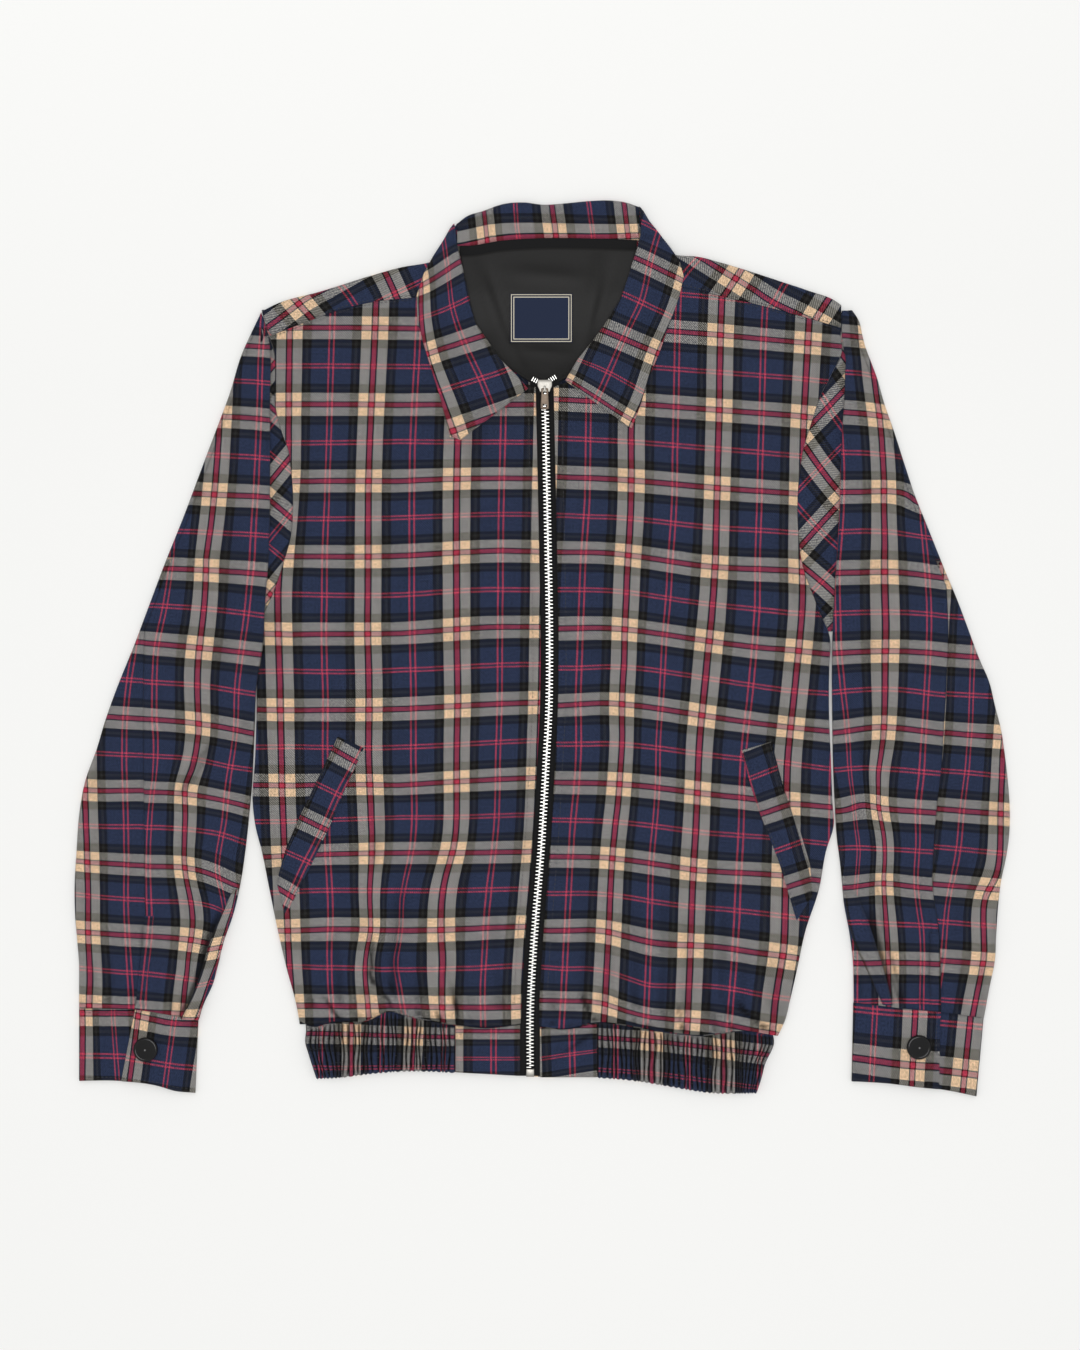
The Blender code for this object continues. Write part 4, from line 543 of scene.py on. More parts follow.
        (0, -322.6, -295, -328.6, -341), (35, -294.7, -304, -300.8, -348),
    ], [
        (0, -323.3, -292.8, -292.8, -298.9, -275.5, -299.6), (-30, -322, -328, -299.4, -332, -277, -334.7),
    ]),
    "cuff_over_L": Check([
        (-35, 265.9, -289.6, 263.2, -341.6), (0, 297.6, -295, 294.9, -350),
    ], [
        (30, 252, -288, 288, -291, 312.8, -291.8), (0, 249.4, -326.7, 293.4, -332.2, 315.5, -333.6),
    ]),
    "cuff_under_L": Check([
        (0, 341.6, -300.6, 336.2, -352.8), (-35, 309, -300),
    ], [
        (30, 323.8, -299.2, 351.2, -301.9), (0, 326.4, -337.6, 348.6, -340.5),
    ]),
    "tab_R": Check([(35, -38.7, -312, -38.7, -340), (0, -73.7, -320)], [(0, -68, -305, -20, -305), (-30, -44, -327)]),
    "tab_L": Check([
        (35, 23.8, -312, 24.4, -340), (0, -11.2, -320),
    ], [
        (0, 0, -301.4, 43, -301), (-30, 0, -327, 43, -321),
    ]),
    "elastic_R": Check([
        (0, -152.2, -310, -152.2, -340), (70, -102.4, -310, -104, -340),
    ], [
        (0, -169.6, -307, -81.6, -309.6), (-30, -169.6, -334.4, -81.6, -333.6),
    ]),
    "elastic_L": Check([
        (0, 87.6, -315, 87.6, -345), (70, 145, -315, 145, -345),
    ], [
        (0, 48, -310.4, 172.8, -323), (-30, 84, -338.4, 168, -349.6),
    ]),
    "welt_R": Check([
        (35, -145, -84.4, -162.6, -116, -176.6, -147.6, -187.8, -169, -198.5, -191.6, -209.2, -218.4),
        (13, -163.2, -71.5), (18, -215.7, -188.3),
    ], [
        (0, -166.4, -80, -147, -90.8), (-30, -179.2, -108, -162.6, -116), (-60, -192, -134.7, -172.2, -144.4),
        (-90, -203.8, -162, -187.8, -169), (-120, -215.7, -188.3, -197.4, -199),
    ]),
    "welt_L": Check([
        (35, 163.2, -103.7), (14, 185.8, -96), (31, 193.3, -189.4), (11, 214.7, -184),
    ], [
        (30, 164.8, -103.7, 185.8, -95.6), (0, 175, -131.5, 195.9, -124.6), (-30, 186.8, -161, 206.6, -154),
        (-60, 195.4, -190, 214.7, -184), (-90, 204, -219.4, 213.6, -215.7),
    ]),
    "back": Check([(0, 0, 0, 0, 100), (35, 35, 0)], [(0, 0, 12, 100, 12), (60, 0, 72)]),
}


def step(t):
    """0 below t = 0, 1 above t = 1, and a smooth rise between."""
    t = np.clip(t, 0.0, 1.0)
    return t * t * (3 - 2 * t)


def follow(table, along, across, at):
    """Column `across` of a table, read smoothly at values of its column `along`."""
    ordered = sorted(table, key=lambda row: getattr(row, along))
    keys = np.array([getattr(row, along) for row in ordered], float)
    values = np.array([getattr(row, across) for row in ordered], float)
    slopes = np.gradient(values, keys)
    at = np.clip(np.asarray(at, float), keys[0], keys[-1])
    i = np.clip(np.searchsorted(keys, at, side="right") - 1, 0, len(keys) - 2)
    gap = keys[i + 1] - keys[i]
    t = (at - keys[i]) / gap
    return (
        values[i] * (1 + 2 * t) * (1 - t) ** 2
        + values[i + 1] * t * t * (3 - 2 * t)
        + slopes[i] * gap * t * (1 - t) ** 2
        - slopes[i + 1] * gap * t * t * (1 - t)
    )


def folds_at(folds, x, y):
    """Height that the folds add at points seen from above."""
    total = np.zeros(np.broadcast(x, y).shape)
    for fold in folds:
        run_x, run_y = fold.x1 - fold.x0, fold.y1 - fold.y0
        length = math.hypot(run_x, run_y)
        along = ((x - fold.x0) * run_x + (y - fold.y0) * run_y) / length
        off = ((x - fold.x0) * run_y - (y - fold.y0) * run_x) / length
        fade = step((along + 20) / 40) * step((length + 20 - along) / 40)
        total = total + fold.height * fade * np.exp(-2 * (off / fold.width) ** 2)
    return total


class Panel:
    """A flat shape seen from above. u runs from its first side (0) to its second (1), v from its top to its bottom.
    The sides give x at a height y. The top and bottom are lines of points, from side to side in either order."""

    def __init__(self, first, second, top, bottom):
        self.first, self.second = first, second
        self.top, self.bottom = self.by_share(top), self.by_share(bottom)

    def share(self, x, y):
        low, high = self.first(y), self.second(y)
        return float((x - low) / (high - low))

    def by_share(self, points):
        return [Point(self.share(point.x, point.y), point.y) for point in points]

    def at(self, u, v):
        u, v = np.broadcast_arrays(np.asarray(u, float), np.asarray(v, float))
        y = (1 - v) * follow(self.top, "x", "y", u) + v * follow(self.bottom, "x", "y", u)
        low, high = self.first(y), self.second(y)
        return low + (high - low) * u, y

    def row(self, v):
        """The first end, the unit direction to the second end and the length of the row at v."""
        x, y = self.at(np.array([0.0, 1.0]), v)
        length = math.hypot(x[1] - x[0], y[1] - y[0])
        return np.array([(x[1] - x[0]) / length, (y[1] - y[0]) / length, 0.0]), length


def reader(table, column):
    """A column of a table as a function of the height y."""
    return lambda y: follow(table, "y", column, y)


def at_x(x):
    """A straight side of a panel at one x."""
    return lambda y: np.full(np.shape(y), float(x))


def moved(points, distance):
    """The same line of points, further from the collar by a distance."""
    return [Point(point.x, point.y - distance) for point in points]


class Strip:
    """Points along one section of a folded piece, each with the direction its outer face looks in."""

    def __init__(self, thickness):
        self.thickness = thickness
        self.points, self.normals = [], []

    def add(self, x, y, z, normal):
        self.points.append((float(x), float(y), float(z)))
        self.normals.append(np.asarray(normal, float))

    def faces(self):
        outer = np.array(self.points)
        return outer, outer - np.array(self.normals) * self.thickness


def curl_normal(outward, angle):
    return outward * math.cos(angle) + UP * math.sin(angle)


def make_object(name, points, faces, material):
    """One mesh object from points in millimetres, with its faces turned outwards."""
    mesh = bpy.data.meshes.new(name)
    mesh.from_pydata((np.asarray(points) * MM).tolist(), [], faces)
    work = bmesh.new()
    work.from_mesh(mesh)
    bmesh.ops.recalc_face_normals(work, faces=work.faces)
    work.to_mesh(mesh)
    work.free()
    mesh.materials.append(material)
    mesh.shade_smooth()
    mesh.set_sharp_from_angle(angle=math.radians(50))
    thing = bpy.data.objects.new("soft_" + name, mesh)
    bpy.context.scene.collection.objects.link(thing)
    return thing


def painted_hollow_shade(outer):
    """Painted shade for the hollows: how deep each point lies below the mean height round it, from 0 to 1."""
    z = outer[..., 2]
    mean = np.zeros_like(z)
    for axis in (0, 1):
        places = np.arange(z.shape[axis])
        for shift in range(-HOLLOW_ROWS, HOLLOW_ROWS + 1):
            mean += np.take(z, np.clip(places + shift, 0, len(places) - 1), axis=axis) / (4 * HOLLOW_ROWS + 2)
    return np.clip((mean - z) / FULL_PAINTED_SHADE_DEPTH, 0.0, 1.0)


def wall(name, outer, inner, check, material, shade=None):
    """A closed wall between two grids of points, with the check's distances and the painted shade of its hollows as its
    UV maps.
    shade adds painted shade to the hollows, where a crevice is deeper than its points tell."""
    count_u, count_v = outer.shape[:2]
    index = np.arange(count_u * count_v).reshape(count_u, count_v)
    under = index + count_u * count_v

    def quads(a, b, c, d):
        return np.stack([a, b, c, d], axis=-1).reshape(-1, 4)

    faces = [
        quads(index[:-1, :-1], index[1:, :-1], index[1:, 1:], index[:-1, 1:]),
        quads(under[:-1, :-1], under[:-1, 1:], under[1:, 1:], under[1:, :-1]),
    ]
    for j in (0, -1):
        faces.append(quads(index[:-1, j], under[:-1, j], under[1:, j], index[1:, j]))
    for i in (0, -1):
        faces.append(quads(index[i, :-1], index[i, 1:], under[i, 1:], under[i, :-1]))
    points = np.concatenate([outer.reshape(-1, 3), inner.reshape(-1, 3)])
    thing = make_object(name, points, np.concatenate(faces).tolist(), material)
    corners = np.empty(len(thing.data.loops), np.int32)
    thing.data.loops.foreach_get("vertex_index", corners)
    # painted shade in the hollows, kept in the UV map "hollow"
    depth = painted_hollow_shade(outer) if shade is None else np.maximum(painted_hollow_shade(outer), shade)
    for layer_name, grid in (("cloth", check), ("hollow", np.stack([depth, depth], axis=-1))):
        flat = grid.reshape(-1, 2)
        values = np.concatenate([flat, flat]).astype(np.float32)
        layer = thing.data.uv_layers.new(name=layer_name)
        layer.data.foreach_set("uv", values[corners].ravel())
    return thing


def smooth_map(lines):
    """A thin plate through known values at a few points, read at any other point of the table."""
    spots = np.array([spot for _, *line in lines for spot in zip(line[::2], line[1::2])], float) / 100
    values = np.array([value for value, *line in lines for _ in line[::2]], float)
    count = len(spots)

    def bend(gap):
        return gap**2 * np.log(gap + 1e-9)

    gaps = np.linalg.norm(spots[:, None] - spots[None], axis=-1)
    plane = np.column_stack([np.ones(count), spots])
    matrix = np.zeros((count + 3, count + 3))
    matrix[:count, :count] = bend(gaps) + 1e-4 * np.eye(count)
    matrix[:count, count:] = plane
    matrix[count:, :count] = plane.T
    solved = np.linalg.lstsq(matrix, np.concatenate([values, np.zeros(3)]), rcond=None)[0]

    def read(x, y):
        at = np.stack(np.broadcast_arrays(x, y), axis=-1) / 100
        found = np.zeros(at.shape[:-1])
        for spot, weight in zip(spots, solved):
            found += weight * bend(np.linalg.norm(at - spot, axis=-1))
        return found + solved[count] + at @ solved[count + 1:]

    return read


def check_at(name, x, y):
    """The distances along the warp and the weft at points of a piece, as a grid of pairs."""
    check = CHECKS[name]
    return np.stack([smooth_map(check.warp)(x, y), smooth_map(check.weft)(x, y)], axis=-1)


def unrolled(outer, known, first, last):
    whole = np.zeros(outer.shape[:2] + (2,))
    whole[first:last] = known
    for start, inside, way in ((first, first + 1, -1), (last - 1, last - 2, 1)):
        run = whole[start] - whole[inside]
        run /= np.maximum(np.linalg.norm(run, axis=-1, keepdims=True), 1e-6)
        length = np.zeros(outer.shape[1])
        row = start + way
        while 0 <= row < len(outer):
            length = length + np.linalg.norm(outer[row] - outer[row - way], axis=-1)
            whole[row] = whole[start] + run * length[:, None]
            row += way
    return whole


def grid(width, length, pitch_u, pitch_v, near=NEAR_EDGE):
    """Shares across and down a piece, closer together next to its edges."""
    return np.meshgrid(spread(0, 1, width, pitch_u, near), spread(0, 1, length, pitch_v, near), indexing="ij")


def columns_at(table, share):
    """A table's columns, read along its rows at shares of its length."""
    table = np.array(table, float)
    return [np.interp(share * (len(table) - 1), np.arange(len(table)), column) for column in table.T]


def ply(name, x, y, z, thickness, check=None, shade=None, material=None):
    """A flat ply of cloth from its upper face. Its check is a table's name, its own name's by default, or a grid."""
    if not isinstance(check, np.ndarray):
        check = check_at(check or name, x, y)
    outer = np.stack([x, y, z], axis=-1)
    return wall(name, outer, outer - UP * thickness, check, material or TWILL, shade)


def ripple(x, y):
    """Soft uneven waves of cloth that has been worn, in millimetres."""
    total = 0.0
    for wave in RIPPLES:
        turn = math.radians(wave.heading)
        along = x * math.cos(turn) + y * math.sin(turn)
        across = y * math.cos(turn) - x * math.sin(turn)
        total = total + wave.height * np.sin(2 * np.pi * along / wave.length + wave.start + 1.6 * np.sin(across / 70))
    return total


def eased(distance, depth=SEAM_DROP, reach=SEAM_REACH):
    """How far the outer face turns down at a distance from a seam or an edge."""
    return -depth * (1 - step(distance / reach)) ** 1.5


def spread(first, last, length, pitch, near=NEAR_EDGE):
    """Shares from first to last at about a pitch in millimetres, closer together next to both ends."""
    count = max(int(round(abs(last - first) * length / pitch)), 2)
    inner = np.linspace(first, last, count + 1)
    way = np.sign(last - first)
    edges = np.array(near) / length * way
    reach = abs(edges[-1]) * 1.4
    inner = inner[(np.abs(inner - first) > reach) & (np.abs(inner - last) > reach)]
    return np.concatenate([[first], first + edges, inner, (last - edges)[::-1], [last]])


def gathers(x, depth, seed):
    """Uneven puffs of cloth that is gathered into a seam, at a depth below or above that seam in millimetres."""
    total = 0.0
    for wave in GATHERS:
        sway = x + wave.sway * np.sin(depth / 26 + seed + wave.start)
        lobe = np.sin(2 * np.pi * sway / wave.length + wave.start + seed)
        total = total + wave.height * lobe * np.exp(-depth / wave.reach)
    return total * step(depth / 5)


def collar_lift(x, y):
    """How far the back fall of the collar lifts what lies on it."""
    return COLLAR_LIFT * step((y - 248) / 40) * step((x + 138) / 40) * step((156 - x) / 40)


def body_top(x, y):
    """Height of the outer face of the fronts and yokes. The collar presses the cloth flat round the neck."""
    from_right = x - follow(BODY_SIDES, "y", "right", y)
    from_left = follow(BODY_SIDES, "y", "left", y) - x
    inside = np.minimum(from_right, from_left)
    off_middle = np.abs(x)
    pressed = step((y - 120) / 80) * step((150 - off_middle) / 60) * step((off_middle - 12) / 24)
    loft = step(inside / 30) * (1 - 0.8 * pressed)
    return 2 * CLOTH + SEAM + (BODY_LOFT + folds_at(BODY_FOLDS, x, y)) * loft + collar_lift(x, y)


def body_side(hand):
    """The side of the body as a function of the height y."""
    return reader(BODY_SIDES, "right" if hand == "R" else "left")


def toward_zip(hand):
    """1 where going inwards from a side of the body raises x, and -1 where it lowers x."""
    return 1 if hand == "R" else -1


def front(hand):
    """A front: its top ends at the yoke and the neck, and its bottom is gathered into the waistband."""
    side = toward_zip(hand)

    def edge(y):
        return follow(ZIP_LINE, "y", "x", y) - side * ZIP_HALF_OPENING

    top = moved(YOKE_SEAM[hand], SEAM) + NECK[hand]
    waist = moved([point for point in WAIST if (point.x + 10) * side < 0], -3 * SEAM)
    panel = Panel(body_side(hand), edge, top, waist)
    u, v = grid(FRONT_WIDTH, BODY_LENGTH, FINE, FINE)
    x, y = panel.at(u, v)
    width = np.abs(panel.second(y) - panel.first(y))
    from_top = v * BODY_LENGTH
    from_waist = (1 - v) * BODY_LENGTH
    from_side = np.minimum(u, 1 - u) * width
    calm = step(from_side / 18) * step(from_top / 18)
    z = body_top(x, y) + (ripple(x, y) + CREASES_STAND * folds_at(BODY_CREASES, x, y)) * calm
    puffed = PUFF * (1 + 0.5 * np.sin(x / 6.1 + 1.0) + 0.3 * np.sin(x / 3.3)) * np.exp(-(((from_waist - 9) / 7) ** 2))
    z = z + (gathers(x, from_waist, 0.0) + puffed) * step(from_side / 10)
    z = z - SEAM_SINK * (1 - step(from_waist / 5))
    return ply("front_" + hand, x, y, np.maximum(z + eased(from_top) + eased(from_side), BODY_LEAST), CLOTH)


def back():
    """The back, flat on the table but for its neck, which lies on the collar's back fall."""
    panel = Panel(body_side("R"), body_side("L"), BACK_TOP, BACK_WAIST)
    x, y = panel.at(*grid(BACK_WIDTH, BODY_LENGTH, COARSE, COARSE))
    return ply("back", x, y, collar_lift(x, y) + CLOTH, CLOTH)


def both_faces(strips):
    """The outer and the inner face of a folded piece, as grids of points."""
    return (np.stack(faces, axis=1) for faces in zip(*(strip.faces() for strip in strips)))


def folded(name, strips, first, last, check=None, shade=None):
    """A folded piece. Rows first to last - 1 of its strips are the part whose check is known."""
    outer, inner = both_faces(strips)
    spots = outer[first:last]
    known = check_at(check or name, spots[..., 0], spots[..., 1])
    if "sleeve_back" in name:
        joined = check_at(name.replace("back", "front"), spots[..., 0], spots[..., 1])
        known = np.where(spots[..., 1:2] > SEAM_AT_EDGE_Y, joined, known)
    if shade is not None:
        shade = shade(outer[..., 0], outer[..., 1]) * (outer[..., 2] > FOLD_RADIUS)
    return wall(name, outer, inner, unrolled(outer, known, first, last), TWILL, shade)


def yoke(hand):
    """A shoulder yoke, from its front seam over the shoulder fold to the top of the back."""

    def neck_end(y):
        return follow(YOKE_NECK_END[hand], "y", "x", y)

    panel = Panel(body_side(hand), neck_end, SHOULDER[hand], YOKE_SEAM[hand])
    strips = []
    for u in spread(0, 1, YOKE_WIDTH, 2.4):
        x, y = panel.at(u, np.array([0.0, 1.0]))
        depth = math.hypot(x[1] - x[0], y[1] - y[0])
        outward = np.array([x[0] - x[1], y[0] - y[1], 0.0]) / depth
        base = float(collar_lift(x[0], y[0]))
        strip = Strip(CLOTH)
        for offset in (LIP, (LIP + FOLD_RADIUS) / 2):
            strip.add(*panel.at(u, offset / depth), base, -UP)
        for angle in FINE_CURL:
            point = panel.at(u, FOLD_RADIUS * (1 - math.cos(angle)) / depth)
            strip.add(*point, base + FOLD_RADIUS * (1 + math.sin(angle)), curl_normal(outward, angle))
        from_end = min(u, 1 - u) * YOKE_WIDTH
        for v in even(1, FOLD_RADIUS / depth, 14, depth)[::-1][1:]:
            px, py = panel.at(u, v)
            blend = step(v * depth / 22)
            z = (base + 2 * FOLD_RADIUS) * (1 - blend) + body_top(px, py) * blend
            z = z + eased((1 - v) * depth) + eased(from_end) + 0.4 * ripple(px, py) * step(v * depth / 10)
            strip.add(px, py, z, UP)
        strips.append(strip)
    return folded("yoke_" + hand, strips, 2 + len(FINE_CURL), len(strips[0].points))


def sleeve_panel(hand):
    """A sleeve from its outer edge (u = 0) to the folded edge by the body, down to the cuff."""
    table = SLEEVE[hand]
    return Panel(reader(table, "outer"), reader(table, "inner"), SLEEVE_TOP[hand], moved(CUFF_TOP[hand], -SEAM))


def sleeve_lift(hand, y):
    """How high the folded edge of the sleeve lies on what is under it."""
    return np.maximum(follow(SLEEVE[hand], "y", "lift", y), 0.0)


def sleeve_top(hand, x, y, share, length):
    """Height of a sleeve's upper face, at a share of its width from the outer edge."""
    middle = step(share / 0.25) * step((1 - share) / 0.25)
    loft = SLEEVE_LOFT * step((length - 10) / 50)
    lift = sleeve_lift(hand, y)
    creases = CREASES_STAND * folds_at(SLEEVE_CREASES, x, y) + ripple(x, y)
    above_cuff = y - follow(CUFF_TOP[hand], "x", "y", x)
    creases = creases + 0.8 * gathers(1.3 * x, np.maximum(above_cuff, 0.0), 2.0)
    edges = step(share * length / 7) * step((1 - share) * length / 7)
    rise = (loft + folds_at(SLEEVE_FOLDS, x, y)) * middle + creases * edges * step(above_cuff / 8)
    from_fold = (1 - share) * length - LIP - 2
    slope = np.minimum(24.0, np.maximum(length - LIP - 4, 1.0))
    return np.maximum(2 * FOLD_RADIUS + rise, SLEEVE_LEAST) + lift * (1 - step(from_fold / slope))


def free_below_underarm(y):
    """0 where the sleeve is joined to the body, and 1 where it is free."""
    return float(step((UNDERARM_Y - y) / 16))


def lip_length(y, length):
    """What the sleeve's folded edge carries round to its underside."""
    return min(LIP + (FREE_LIP - LIP) * free_below_underarm(y), 0.4 * length)


def seam_share(hand, panel, v, length):
    """The share at which the seam between front and back sleeve crosses a row."""
    x, y = panel.at(0.0, v)
    inset = abs(float(x)) - abs(float(follow(BACK_SEAM[hand], "y", "x", y)))
    return min(max(inset, SEAM_LEAST_INSET), 0.45 * length) / length


def even(first, last, count, length, near=NEAR_EDGE):
    """A fixed count of shares from first to last, with extra ones next to the first."""
    way = np.sign(last - first)
    close = first + np.array(near) / length * way
    return np.concatenate([[first], close, np.linspace(close[-1], last, count + 1)[1:]])


def painted_shade_beside_pleat(hand, x, y):
    """Painted shade on the sleeve in the hollow along the free edge of its pleat."""
    line = [(row.from_x, row.from_y) if hand == "R" else (row.to_x, row.to_y) for row in PLEATS[hand][::-1]]
    edge_x, edge_y = np.transpose(line)
    away = (np.interp(y, edge_y, edge_x) - x) * toward_zip(hand)
    along = step((edge_y[-1] - 6 - y) / 26) * step((y - edge_y[0] + 2) / 10)
    high, low = PLEAT_PAINTED_SHADE_WIDTH[hand]
    wide = low + (high - low) * step((y - edge_y[0]) / (edge_y[-1] - edge_y[0]))
    return along * step((away + 4) / 3) * (1 - step((away - 0.4 * wide) / (0.8 * wide)))


def sleeve_front(hand):
    """The large sleeve piece: from the back seam over the top, round the edge by the body and under it."""
    panel = sleeve_panel(hand)
    strips = []
    for v in spread(0, 1, SLEEVE_LENGTH, FINE):
        inward, length = panel.row(v)
        y_fold = float(panel.at(1.0, v)[1])
        lift = float(sleeve_lift(hand, y_fold))
        strip = Strip(CLOTH)
        start = seam_share(hand, panel, v, length) + SEAM / length
        for share in even(start, 1 - FOLD_RADIUS / length, 44, length)[:-1]:
            x, y = panel.at(share, v)
            z = sleeve_top(hand, x, y, share, length) + eased((share - start) * length)
            strip.add(x, y, z + eased(min(v, 1 - v) * SLEEVE_LENGTH), UP)
        top_rows = len(strip.points)
        for angle in reversed(FINE_CURL):
            point = panel.at(1 - FOLD_RADIUS * (1 - math.cos(angle)) / length, v)
            strip.add(*point, lift + FOLD_RADIUS * (1 + math.sin(angle)), curl_normal(inward, angle))
        lip = lip_length(y_fold, length)
        over_body = 6.5 if lip > LIP else FOLD_RADIUS
        for offset in (over_body + 0.3 * (lip - over_body), lip):
            drop = lift * free_below_underarm(y_fold) * step((offset - over_body) / (lip - over_body))
            strip.add(*panel.at(1 - offset / length, v), lift - drop, -UP)
        strips.append(strip)
    # painted shade on the sleeve along the pleat's free edge
    return folded("sleeve_front_" + hand, strips, 0, top_rows, shade=lambda x, y: painted_shade_beside_pleat(hand, x, y))


def sleeve_back(hand):
    """The narrow sleeve piece: from the armhole and underarm seam across the underside and round the outer edge."""
    panel = sleeve_panel(hand)
    strips = []
    for v in spread(0, 1, SLEEVE_LENGTH, 3.0):
        inward, length = panel.row(v)
        y_fold = panel.at(1.0, v)[1]
        free = max(free_below_underarm(float(y_fold) - 16), float(step((y_fold - SLEEVE_LAPS_BELOW[hand]) / 6)))
        joined = panel.share(body_side(hand)(y_fold) - toward_zip(hand) * SEAM, y_fold)
        parted = 1 - (lip_length(float(y_fold), length) + SEAM) / length
        start = joined * (1 - free) + parted * free
        strip = Strip(CLOTH)
        for share in np.linspace(start, FOLD_RADIUS / length, 16)[:-1]:
            strip.add(*panel.at(share, v), 0.0, -UP)
        for angle in FINE_CURL:
            point = panel.at(FOLD_RADIUS * (1 - math.cos(angle)) / length, v)
            strip.add(*point, FOLD_RADIUS * (1 + math.sin(angle)), curl_normal(-inward, angle))
        known = len(strip.points)
        end = seam_share(hand, panel, v, length)
        room = max((end - FOLD_RADIUS / length) * length, 1.0)
        near = np.array(NEAR_EDGE) * min(1.0, room / 5)
        for share in even(end, FOLD_RADIUS / length, 20, length, near)[:-1][::-1]:
            x, y = panel.at(share, v)
            z = sleeve_top(hand, x, y, share, length) + eased((end - share) * length)
            strip.add(x, y, z + eased(min(v, 1 - v) * SLEEVE_LENGTH), UP)
        strips.append(strip)
    return folded("sleeve_back_" + hand, strips, known, len(strips[0].points))


def sleeve_turn(hand):
    """The part of the front sleeve next to the armhole, which turns back under the sleeve's folded edge."""
    inner = reader(SLEEVE[hand], "inner")
    inwards = toward_zip(hand)

    def first(y):
        return body_side(hand)(y) - inwards * SEAM

    def second(y):
        return inner(y) - inwards * (0.8 + (LIP - 0.8) * step((231 - y) / 8))

    top, bottom = ([Point(side(y), y) for side in (first, second)] for y in (TURN_TOP_Y[hand], UNDERARM_Y + 2))
    panel = Panel(first, second, top, bottom)
    u, v = np.meshgrid(np.linspace(0, 1, 12), spread(0, 1, 255, 2.6), indexing="ij")
    x, y = panel.at(u, v)
    return ply("sleeve_turn_" + hand, x, y, 2 * CLOTH + SEAM - 0.9 * step((y - 226) / 10) + eased(u * 20), CLOTH)


def placket(hand):
    """The bound slit that runs down the sleeve to the end of the cuff's overlap."""
    top, bottom = PLACKETS[hand]
    panel = sleeve_panel(hand)
    v, u = np.meshgrid(spread(0, 1, 70, 2.5), spread(0, 1, PLACKET_WIDTH, 1.6, NARROW_EDGE), indexing="ij")
    x = top.x + (bottom.x - top.x) * v + (u - 0.5) * PLACKET_WIDTH
    y = top.y + (bottom.y - top.y) * v
    share = (x - panel.first(y)) / (panel.second(y) - panel.first(y))
    z = sleeve_top(hand, x, y, share, 100.0) + LAID_ON + TRIM
    z = z + eased(np.minimum(u, 1 - u) * PLACKET_WIDTH, 0.5, 1.6) + eased(v * 70, 0.5, 1.6)
    check = check_at("sleeve_front_" + hand, x, y)
    if hand == "R":
        check[..., 0] = 33.0 + (u - 0.5) * PLACKET_WIDTH
    return ply("placket_" + hand, x, y, z, TRIM, check)


def pleat(hand):
    """The fold of sleeve cloth that laps over just above the cuff, where the sleeve is pleated into it."""
    u, v = np.meshgrid(spread(0, 1, 14, 1.4, (0.4, 0.9)), spread(0, 1, 120, 2.2), indexing="ij")
    at = PleatRow(*columns_at(PLEATS[hand], v))
    panel = sleeve_panel(hand)
    first, last = PLEAT_TURNS[hand]
    across = first + (last - first) * u
    y = at.from_y * (1 - across) + at.to_y * across
    x = at.from_x * (1 - across) + at.to_x * across
    contour = panel.second(y)
    x = np.minimum(x, contour - 0.2) if hand == "R" else np.maximum(x, contour + 0.2)
    wide = np.abs(panel.second(y) - panel.first(y))
    share = (x - panel.first(y)) / (panel.second(y) - panel.first(y))
    ends = step(v * 120 / 22)
    on_top = step((across + 0.12) / 0.3) * (1 - step((across - 0.82) / 0.3) * (hand == "L"))
    hollow = np.minimum(CREASES_STAND * folds_at(SLEEVE_CREASES, x, y), 0.0)
    z = sleeve_top(hand, x, y, np.clip(share, 0.0, 0.97), wide) - hollow * on_top
    z = z - 1.2 + (1.6 + PLEAT_RISE * ends * (1 - 0.5 * step((across - 0.4) / 0.6) * (hand == "R"))) * on_top
    # painted shade in the trough under the turned part of the pleat
    painted_crevice_shade = ends * np.clip(1.0 - 1.6 * on_top, 0, 1)
    check = np.stack([at.from_warp * (1 - across) + at.to_warp * across, at.weft], axis=-1)
    if hand == "L":
        check[..., 1] = check_at("sleeve_front_L", x, y)[..., 1]
    return ply("sleeve_pleat_" + hand, x, y, z, TRIM, check, painted_crevice_shade)


def cuff_height(top_layer_share, share):
    """Height of the overlap's face, which rises from the folded edge to lie on the underlap."""
    return 2 * FOLD_RADIUS + CUFF_STEP * step((1 - share) / max(1 - top_layer_share, 0.05))


